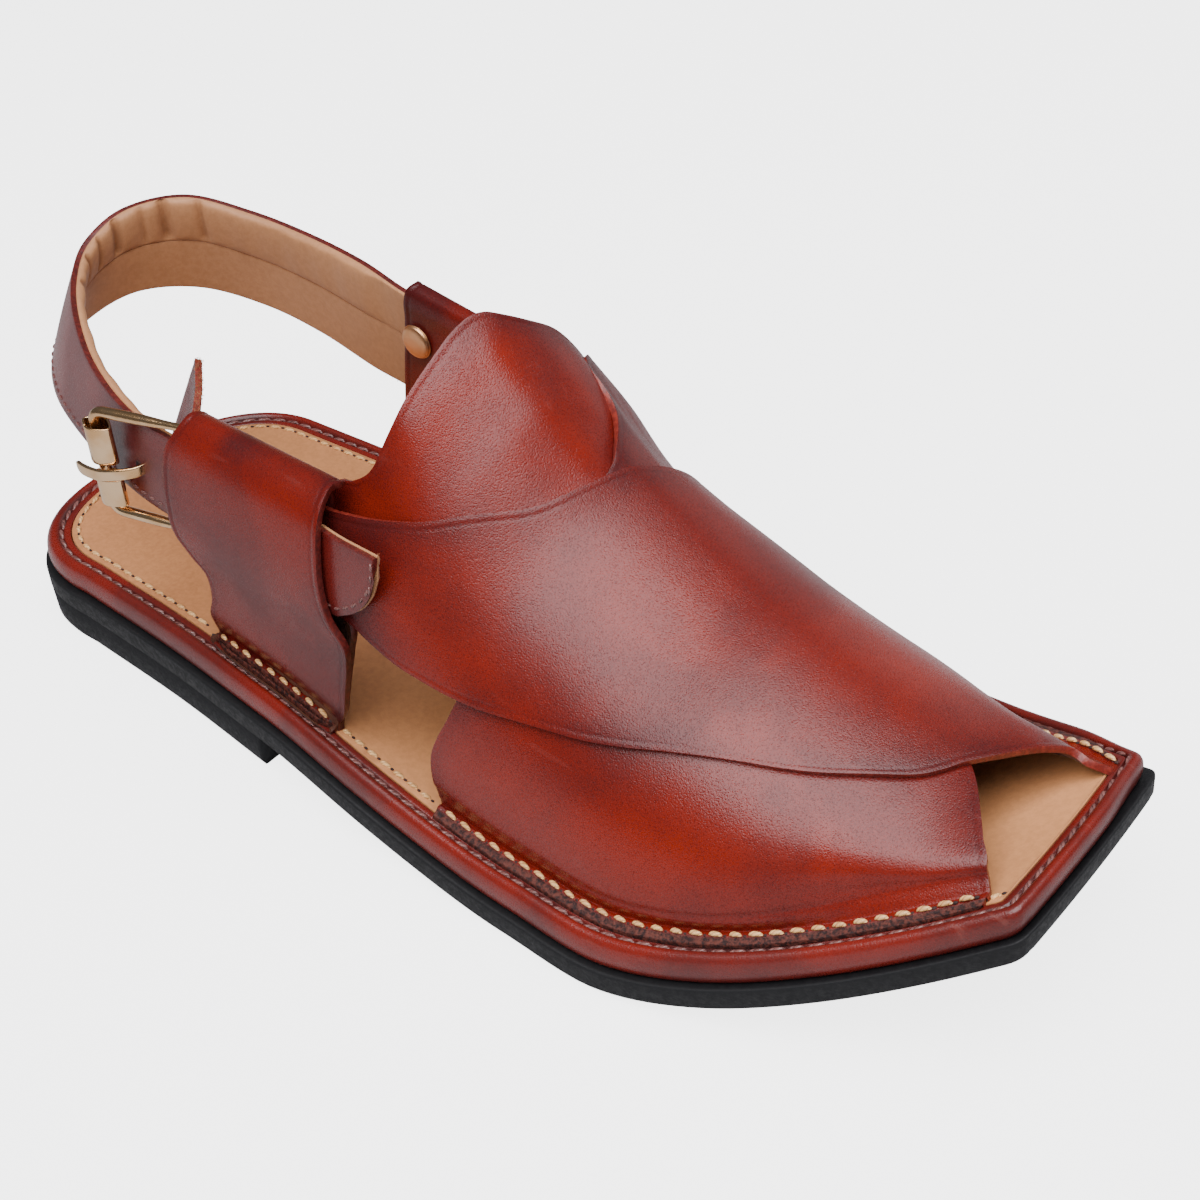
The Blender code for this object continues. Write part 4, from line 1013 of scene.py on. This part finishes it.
def loopControl(loop):
    # A section of the folded strap at each share of its width; the layer inside the crown is cut shorter.
    side = loop["side"]
    first, last = loop["ends"]
    table = np.array(loop["rows"], float)
    inner = np.array(loop["innerBase"][::-1], float)
    settle = np.clip((7.0 - np.arange(3, 3 + len(table))) / 5.0, 0.0, 1.0)
    rings = []
    for share in np.linspace(0, 1, loopForm["sections"]):
        z, x, front, back = between(table[:, :4], table[:, 4:], share).T
        sag = rise(x[0]) - rise(first) * (1 - share) - rise(last) * share
        shift = edge(x[0], side) - edge(first, side) * (1 - share) - edge(last, side) * share
        z, front, back = z + settle * sag, front + settle * shift, back + settle * shift
        narrow = loopForm["narrow"] * (1 - ease(0.0, 0.15, share) + ease(0.85, 1.0, share))
        turned = flangeRows(np.array([between(first, last, share)]), side, "loop", narrow)[:, 0, :]
        short = x - (loop["trim"] * share * (0.5 + 0.5 * ease(*loopForm["trimFrom"], z))
                     * (1 - ease(*loopForm["trimTo"], z)))
        lowZ, lowY = between(inner[:, :2], inner[:, 2:], share).T
        lowX = np.full(len(inner), between(first, loop["innerEnd"], share))
        rings.append(np.concatenate([turned, withRaw(np.concatenate([
            np.column_stack([x, front, z]), np.column_stack([short, back, z])[-2::-1],
            np.column_stack([lowX, lowY + shift, lowZ + sag])]))]))
    return np.array(rings).transpose(1, 0, 2)


def makeLoop(name, loop, node):
    sheet = dense(loopControl(loop), *loopForm["mesh"])
    raw = np.clip(sheet[..., 3], 0.0, 1.0)
    middle = sheet[..., :3].reshape(-1, 3).mean(axis=0)
    sheet = pressRim(sheet[..., :3], loopForm["bead"], middle)
    # Darker towards the edges, with painted shade over the crown of the fold, towards the sole and in the
    # crease behind the bead.
    crown = bell(sheet[..., 2], sheet[..., 2].max(axis=0)[None, :], 5.0)
    shade = (0.25 * edgeMask(sheet, 9.0) ** 2 + 0.3 * crown + 0.35 * lowShade(sheet, 12.0)
             + rimShade(edgeRun(sheet), 0.5))
    bm = gridMesh(sheet, darken=np.clip(shade, 0, 1), raw=raw)
    piece = finishPiece(bm, name, [loopHide, darkEdge, fleshSide], node, middle)
    thicken(piece, loop["wall"], 0.35)


makeLoop("lateralLoopLeather", lateralLoop, "lateral_loop")
makeLoop("medialLoopLeather", medialLoop, "medial_loop")
makeStitches("loopStitches", [(flangeLine(loopControl(loop))[4:-4], loop["side"])
                              for loop in (lateralLoop, medialLoop)], loopStitch)
print("loops ready")

# Heel strap: a leather face and a padded lining. Top x, y, z and bottom x, y, z of the outer face.
strap = {
    "rows": ((93, 33.1, 79.2, 93, 35.4, 49.8), (78, 34.2, 80.8, 78, 36.6, 50), (62, 36.6, 82.6, 60, 38.6, 51.6),
             (44, 37.1, 84.4, 42, 39, 55.5), (27, 33.8, 87.6, 25, 36.5, 59.5), (13, 25.5, 92, 10, 28, 64.5),
             (5.2, 12, 92.2, 1.5, 13, 68), (5.2, -1, 89.2, -0.8, -2.5, 67), (12, -11.5, 86.8, 4.6, -16.6, 65.6),
             (25, -22.5, 85, 18.4, -28.2, 63.4), (42, -32.5, 82, 38, -35.8, 61),
             (60, -38.3, 78.8, 58, -39.9, 57.4), (77, -39.6, 77.6, 77, -41.5, 55.8),
             (95, -41.1, 77.4, 95, -43.3, 55.8), (113, -42.8, 77.2, 113, -45.6, 56.6),
             (128.4, -44.7, 76.8, 129, -47.3, 57.4), (133, -45, 76.5, 133, -47.5, 58.6),
             (137.5, -45.1, 76.3, 137.5, -47.1, 61.4), (140.8, -45.1, 76.1, 140.8, -46.5, 65.6),
             (142.6, -45.1, 76, 142.6, -45.7, 70.5)),
    "wall": 1.45, "middle": (70.0, 0.0, 70.0), "stations": 300,
    # share across the strap, extra along it, depth behind the outer face
    "lining": ((0.0, 0.7, 1.2), (0.0, 0.0, 1.35), (0.0, -0.35, 1.9), (0.0, -0.1, 2.8), (0.0, 0.8, 3.5),
               (0.1, 0.6, 3.9), (0.25, 0.0, 3.9), (0.38, 0.0, 3.5), (0.435, 0.0, 2.95), (0.45, 0.0, 2.6),
               (0.465, 0.0, 2.8), (0.6, 0.0, 2.85), (0.8, 0.0, 2.75), (0.97, 0.0, 2.65), (1.0, 0.1, 2.45),
               (1.0, 0.25, 1.9), (1.0, 0.0, 1.25), (0.9, 0.0, 1.2), (0.5, 0.0, 1.2), (0.1, 0.0, 1.2),
               (0.0, 0.7, 1.2)),
    # station, width and depth of each pucker where the lining is bent round the heel
    "puckers": ((0.252, 0.003, 0.8), (0.285, 0.0042, 1.2), (0.305, 0.0025, 0.5), (0.335, 0.0048, 1.0),
                (0.362, 0.003, 0.7), (0.392, 0.0042, 0.9), (0.43, 0.0035, 0.6)),
    "stitch": (2.2, 0.75, 0.5), "pitch": 3.0, "stitchInset": 2.0, "bulge": 0.35,
    # x between which the strap lies tight in a loop, on the lateral side and on the medial
    "tight": ((56, 74), (62, 74)), "slack": 1.22, "squeeze": 0.62,
}


def strapFrames(stations):
    table = smooth(strap["rows"], stations)
    top, bottom = table[:, :3], table[:, 3:]
    height = np.linalg.norm(bottom - top, axis=1, keepdims=True)
    across = (bottom - top) / height
    middle = 0.5 * (top + bottom)
    out = unit(np.cross(across, unit(np.gradient(middle, axis=0))))
    if np.sum(out * (middle - strap["middle"])) < 0:
        out = -out
    return top, across, out, height


strapTop, strapAcross, strapOut, strapHeight = strapFrames(strap["stations"])


def onStrap(k, share, extra=0.0, depth=0.0):
    # A point of the strap: station, share of its height, millimetres more, depth behind its face.
    last = strap["stations"] - 1
    k, share, extra, depth = np.broadcast_arrays(np.clip(k, 0, last), share, extra, depth)
    low = np.floor(k).astype(int)
    high = np.minimum(low + 1, last)
    top, across, out, height = (between(table[low], table[high], (k - low)[..., None])
                                for table in (strapTop, strapAcross, strapOut, strapHeight))
    return top + across * (height * share[..., None] + extra[..., None]) - out * depth[..., None]


def bulgeOf(share):
    return -strap["bulge"] * (1 - (2 * share - 1) ** 2)


def makeStrap():
    stations = strap["stations"]
    k = np.arange(stations, dtype=float)[:, None]
    share = np.linspace(0, 1, 22)[None, :]
    sheet = onStrap(k, share, 0.0, bulgeOf(share))
    # Darker towards the edges, and painted shade on the lateral end where it runs through the buckle and the
    # lateral loop.
    hidden = ease(44, 60, sheet[..., 0]) * (sheet[..., 1] < 0)
    bm = gridMesh(sheet, darken=0.2 * edgeMask(sheet, 5.0) ** 2 + 0.3 * hidden)
    piece = finishPiece(bm, "heelStrapLeather", [strapHide, darkEdge, fleshSide], "heel_strap",
                        strap["middle"])
    thicken(piece, strap["wall"], 0.45)
    # Lining, a closed tube of its own section, flatter where it runs through the loops.
    share, extra, depth = smooth(strap["lining"], 72).T
    x, y = strapTop[:, :1], strapTop[:, 1:2]
    tight = np.where(y < 0, *(ease(*reach, x) for reach in strap["tight"]))
    band = (1 - ease(0.36, 0.45, share)) * ease(-0.4, 1.2, depth - 2.0)
    pinch = np.zeros((stations, 1))
    for spot, width, size in strap["puckers"]:
        pinch += 1.4 * size * bell(k / (stations - 1), spot, width)
    wave = 0.12 * np.sin(k * 0.37) + 0.1 * np.sin(k * 0.83 + 1.0)
    slack, squeeze = strap["slack"], strap["squeeze"]
    deep = slack + (depth - slack) * (1 - squeeze * tight) - (pinch + wave * (1 - tight)) * band
    # Painted shade along the seam's step and in the puckers; the lower band is a little darker.
    seam = bell(share, 0.45, 0.012) * (depth > 2.0)
    lower = ease(0.46, 0.5, share) * (depth > 1.6)
    bm = gridMesh(onStrap(k, share, extra * (1 - 0.5 * tight), deep),
                  darken=0.45 * seam + 0.45 * np.clip(pinch, 0, 1) * band + 0.14 * lower)
    closeUp(bm)
    bmesh.ops.holes_fill(bm, edges=bm.edges, sides=0)
    lining = finishPiece(bm, "heelStrapLining", [tanLining])
    # The stitches run along the lower edge and turn up round the tip.
    k = np.arange(30, stations - 14, dtype=float)
    share = 1.0 - strap["stitchInset"] / strapHeight[k.astype(int), 0]
    tip = np.linspace(0.0, 1.0, 24)
    k = np.concatenate([k, stations - 15 + 10.5 * np.sin(tip * math.pi / 2)])
    share = np.concatenate([share, 1.0 - strap["stitchInset"] / 19.0 - 0.62 * tip ** 1.5])
    spots, ways = resample(onStrap(k, share, 0.0, bulgeOf(share) - 0.1), strap["pitch"])
    ups = [strapOut[np.argmin(np.linalg.norm(strapTop - spot, axis=1))] for spot in spots]
    bm = bmesh.new()
    stitchRow(bm, spots, ways, ups, strap["stitch"], 0.1)
    finishPiece(bm, "strapStitches", [darkThread])


def makeFuzz():
    # Loose fibres on the raw edges: the top panel's cut end and top edge, the strap's tip and its lining.
    bm = bmesh.new()
    sheet = panelSheet(topPanel)[..., :3]
    inward = -outward(sheet)
    for line, inside, way in ((sheet[0, :30], inward[0, :30], (-0.5, 0.3, 0.5)),
                              (sheet[:14, 0], inward[:14, 0], (0, 0, 1))):
        for depth in (0.3, 0.7, 1.1, 1.5):
            tuftRow(bm, resample(line + inside * depth, 0.35)[0], way, (0.9, 0.07), 2)
    tip = np.linspace(strap["stations"] - 9.0, strap["stations"] - 1.2, 30)
    for depth in (1.5, 1.9):
        tuftRow(bm, resample(onStrap(tip, 0.0, 0.0, depth), 0.4)[0], (0.6, -0.1, 0.8), (1.2, 0.07), 2)
    lower = onStrap(np.linspace(20.0, 190.0, 300), 1.0, 0.0, 2.0)
    tuftRow(bm, resample(lower, 0.8)[0], (0, 0, -1), (0.8, 0.05), 1)
    finishPiece(bm, "looseFibres", [tanFibre])


makeStrap()
makeFuzz()
print("strap ready")

# Buckle: bent wire, two folded sleeves on its rear bar, flat prong; rivet in the medial loop.
buckle = {
    "frame": ((54.5, -43.2, 52.6), (54.5, -43.0, 79.8), (84.0, -36.6, 80.9), (84.0, -37.8, 53.0)),
    "wire": 1.35, "hinge": 0.95, "corner": 3.6,
    "sleeve": (55.1, -43.1, 4.1, 2.6, 0.55), "sleeves": (("sleeveUpper", 66.8, 76.6, "buckle_sleeve_upper"),
                                                         ("sleeveLower", 55.2, 62.4, "buckle_sleeve_lower")),
    "prong": ((47.8, -45.8, 64.3), (51.2, -46.6, 64.3), (56.2, -46.4, 64.6), (60.4, -44.7, 65.2),
              (63.4, -42.6, 65.7), (64.5, -40.6, 65.9), (64.6, -38.4, 65.9)),
    "prongWidth": 2.8, "prongThick": 1.1, "rivet": (84.9, 29.2, 70.5), "rivetRadius": 4.3,
    # rivet section: share of the radius, y
    "rivetSection": ((0.0, -1.25), (0.35, -1.22), (0.7, -1.08), (0.9, -0.85), (0.98, -0.55), (1.0, -0.25),
                     (0.97, 0.0), (0.0, 0.0)),
    "hole": (64.5, 65.9), "holeSize": (4.2, 3.8, 0.5),
}


def tubeSheet(path, normals, offsets):
    # offsets: for each path point the section's pairs of side and up
    along = unit(np.gradient(path, axis=0))
    side = unit(np.cross(along, normals))
    up = np.cross(side, along)
    return path[:, None, :] + side[:, None, :] * offsets[..., 0:1] + up[:, None, :] * offsets[..., 1:2]


def finishMetal(name, sheet, node, material):
    bm = gridMesh(sheet)
    closeUp(bm)
    finishPiece(bm, name, [material], node)


def makeWire():
    corners = np.array(buckle["frame"])
    path = []
    for i in range(4):
        after = unit(corners[(i + 1) % 4] - corners[i]) * buckle["corner"]
        start, stop = corners[i] + unit(corners[i - 1] - corners[i]) * buckle["corner"], corners[i] + after
        for t in np.linspace(0, 1, 12):
            path.append(start * (1 - t) ** 2 + corners[i] * 2 * t * (1 - t) + stop * t ** 2)
        for t in np.linspace(0.05, 0.95, 12):
            path.append(between(stop, corners[(i + 1) % 4] - after, t))
    # Start half way along a straight, so that the ends meet cleanly.
    path = np.roll(np.array(path), -18, axis=0)
    path = np.concatenate([path[-1:], path, path[:2]])
    plane = unit(np.cross(corners[1] - corners[0], corners[2] - corners[0]))
    slim = buckle["wire"] + (buckle["hinge"] - buckle["wire"]) * ease(66, 76, path[:, 0])
    turns = np.linspace(0, 2 * math.pi, 21)
    circle = np.column_stack([np.cos(turns), np.sin(turns)])
    sheet = tubeSheet(path, np.broadcast_to(plane, path.shape), slim[:, None, None] * circle)
    finishMetal("buckleWire", sheet[1:-1], "buckle_frame", paleGold)


def makeSleeves():
    # Folded strips whose edges meet in a seam on the outside.
    x, y, wide, deep, wall = buckle["sleeve"]
    turns = np.radians(np.linspace(-112, 244, 49))[None, :]
    squash = 1.0 + 0.06 * np.cos(4 * turns)
    for name, low, high, node in buckle["sleeves"]:
        height = np.linspace(low, high, 9)[:, None]
        sheet = np.stack(np.broadcast_arrays(
            x + wide * squash * np.cos(turns), y + deep * squash * np.sin(turns), height), axis=-1)
        piece = finishPiece(gridMesh(sheet), name, [paleGold], node, (x, y, 0.5 * (low + high)))
        thicken(piece, wall, 0.16, 0, 0)


def makeProng():
    path = smooth(buckle["prong"], 60)
    t = np.linspace(-1, 1, 60)
    half = 0.5 * buckle["prongWidth"] * (1 - np.abs(t) ** 9) ** 0.5 * (1.0 + 0.12 * ease(0.2, -0.8, t))
    thick = 0.5 * buckle["prongThick"] * (1 - np.abs(t) ** 14) ** 0.5
    turns = np.linspace(0, 2 * math.pi, 25)
    box = np.column_stack([np.sin(turns), np.cos(turns)])
    box = np.sign(box) * np.abs(box) ** 0.5
    sizes = np.stack([thick, half], axis=-1)[:, None, :]
    upward = np.broadcast_to((0.0, 0.0, 1.0), path.shape)
    finishMetal("buckleProng", tubeSheet(path, upward, box * sizes), "buckle_prong", paleGold)


def makeRivet():
    # A low dome with a rounded rim, turned about the y axis.
    x, y, z = buckle["rivet"]
    radius = buckle["rivetRadius"]
    section = smooth(buckle["rivetSection"], 36)
    sheet = np.array([[(x + radius * r * math.cos(a), y + h, z + radius * r * math.sin(a))
                       for a in np.linspace(0, 2 * math.pi, 41)] for r, h in section])
    finishMetal("strapRivet", sheet, "strap_rivet", copperGold)


def makeHole():
    # A flat dark disc under the prong's point, as painted shade of the strap's pierced hole.
    x, z = buckle["hole"]
    near = int(np.argmin(np.abs(strapTop[:, 0] - x) + 100 * (strapTop[:, 1] > 0)))
    spot = onStrap([float(near)], (strapTop[near, 2] - z) / strapHeight[near, 0], 0.0, -0.2)
    bm = bmesh.new()
    stitchRow(bm, spot, [(1, 0, 0)], strapOut[near], buckle["holeSize"])
    finishPiece(bm, "strapHoleShade", [holeShade])


makeWire()
makeSleeves()
makeProng()
makeRivet()
makeHole()
print("buckle ready")

# Studio: pale floor, one wide soft light overhead and a gentle low one behind.
studio = {
    "floor": 3.0, "floorTone": (0.42, 0.42, 0.425, 1), "floorGlow": 3.6,
    "roomTone": (0.98, 0.985, 1.0, 1), "room": 0.12, "backdrop": 4.4,
    # name, place, rotation in degrees, width, depth, power, colour; the fill leaves no reflection
    "lights": (("softTop", (0.28, -0.34, 1.2), (0.0, 0.0, -30.0), 1.2, 1.56, 44.0, (0.975, 0.97, 1.0)),
               ("softBack", (0.25, 1.0, 0.35), (-75.0, 0.0, -14.0), 0.9, 0.7, 1.6, (0.98, 0.98, 1.0)),
               ("softFill", (0.16, -0.9, 0.62), (58.0, 0.0, 10.0), 1.0, 0.6, 4.0, (1.0, 0.985, 0.96))),
}
camera = {"place": (0.2685, -0.2713, 0.3357), "around": 36.97, "down": 35.07, "roll": -2.21,
          "lens": 63.36, "shift": (-0.119, -0.1056)}


def makeStudio():
    bm = bmesh.new()
    bmesh.ops.create_grid(bm, x_segments=1, y_segments=1, size=studio["floor"])
    paint, tree = newMaterial("paleFloorPaint")
    seen = addNode(tree, "LightPath").outputs["Is Camera Ray"]
    setInputs(tree, tree.nodes["Principled BSDF"], {
        "Base Color": studio["floorTone"], "Roughness": 0.8, "Emission Color": (1.0, 1.0, 1.0, 1),
        "Emission Strength": times(tree, seen, studio["floorGlow"])})
    finishMesh(bm, "paleFloor", [paint])
    world = bpy.data.worlds.new("paleRoom")
    world.use_nodes = True
    room = world.node_tree
    seen = addNode(room, "LightPath").outputs["Is Camera Ray"]
    setInputs(room, room.nodes["Background"], {
        0: studio["roomTone"], 1: ramp(room, seen, 0.0, 1.0, studio["room"], studio["backdrop"])})
    bpy.context.scene.world = world
    for name, place, turned, width, depth, power, colour in studio["lights"]:
        light = setValues(bpy.data.lights.new(name, "AREA"), shape="RECTANGLE", size=width, size_y=depth,
                          energy=power, color=colour)
        setValues(newObject(name, light), location=place, visible_glossy=name != "softFill",
                  rotation_euler=[math.radians(angle) for angle in turned])
    shiftAcross, shiftUp = camera["shift"]
    lens = setValues(bpy.data.cameras.new("studioCamera"), lens=camera["lens"], sensor_width=36.0,
                     shift_x=shiftAcross, shift_y=shiftUp, clip_start=0.01, clip_end=20.0)
    turn = (Matrix.Rotation(math.radians(camera["around"]), 4, "Z")
            @ Matrix.Rotation(math.radians(90.0 - camera["down"]), 4, "X")
            @ Matrix.Rotation(math.radians(camera["roll"]), 4, "Z"))
    bpy.context.scene.camera = setValues(newObject("studioCamera", lens), location=camera["place"],
                                         rotation_euler=turn.to_euler())


makeStudio()
print("studio ready")
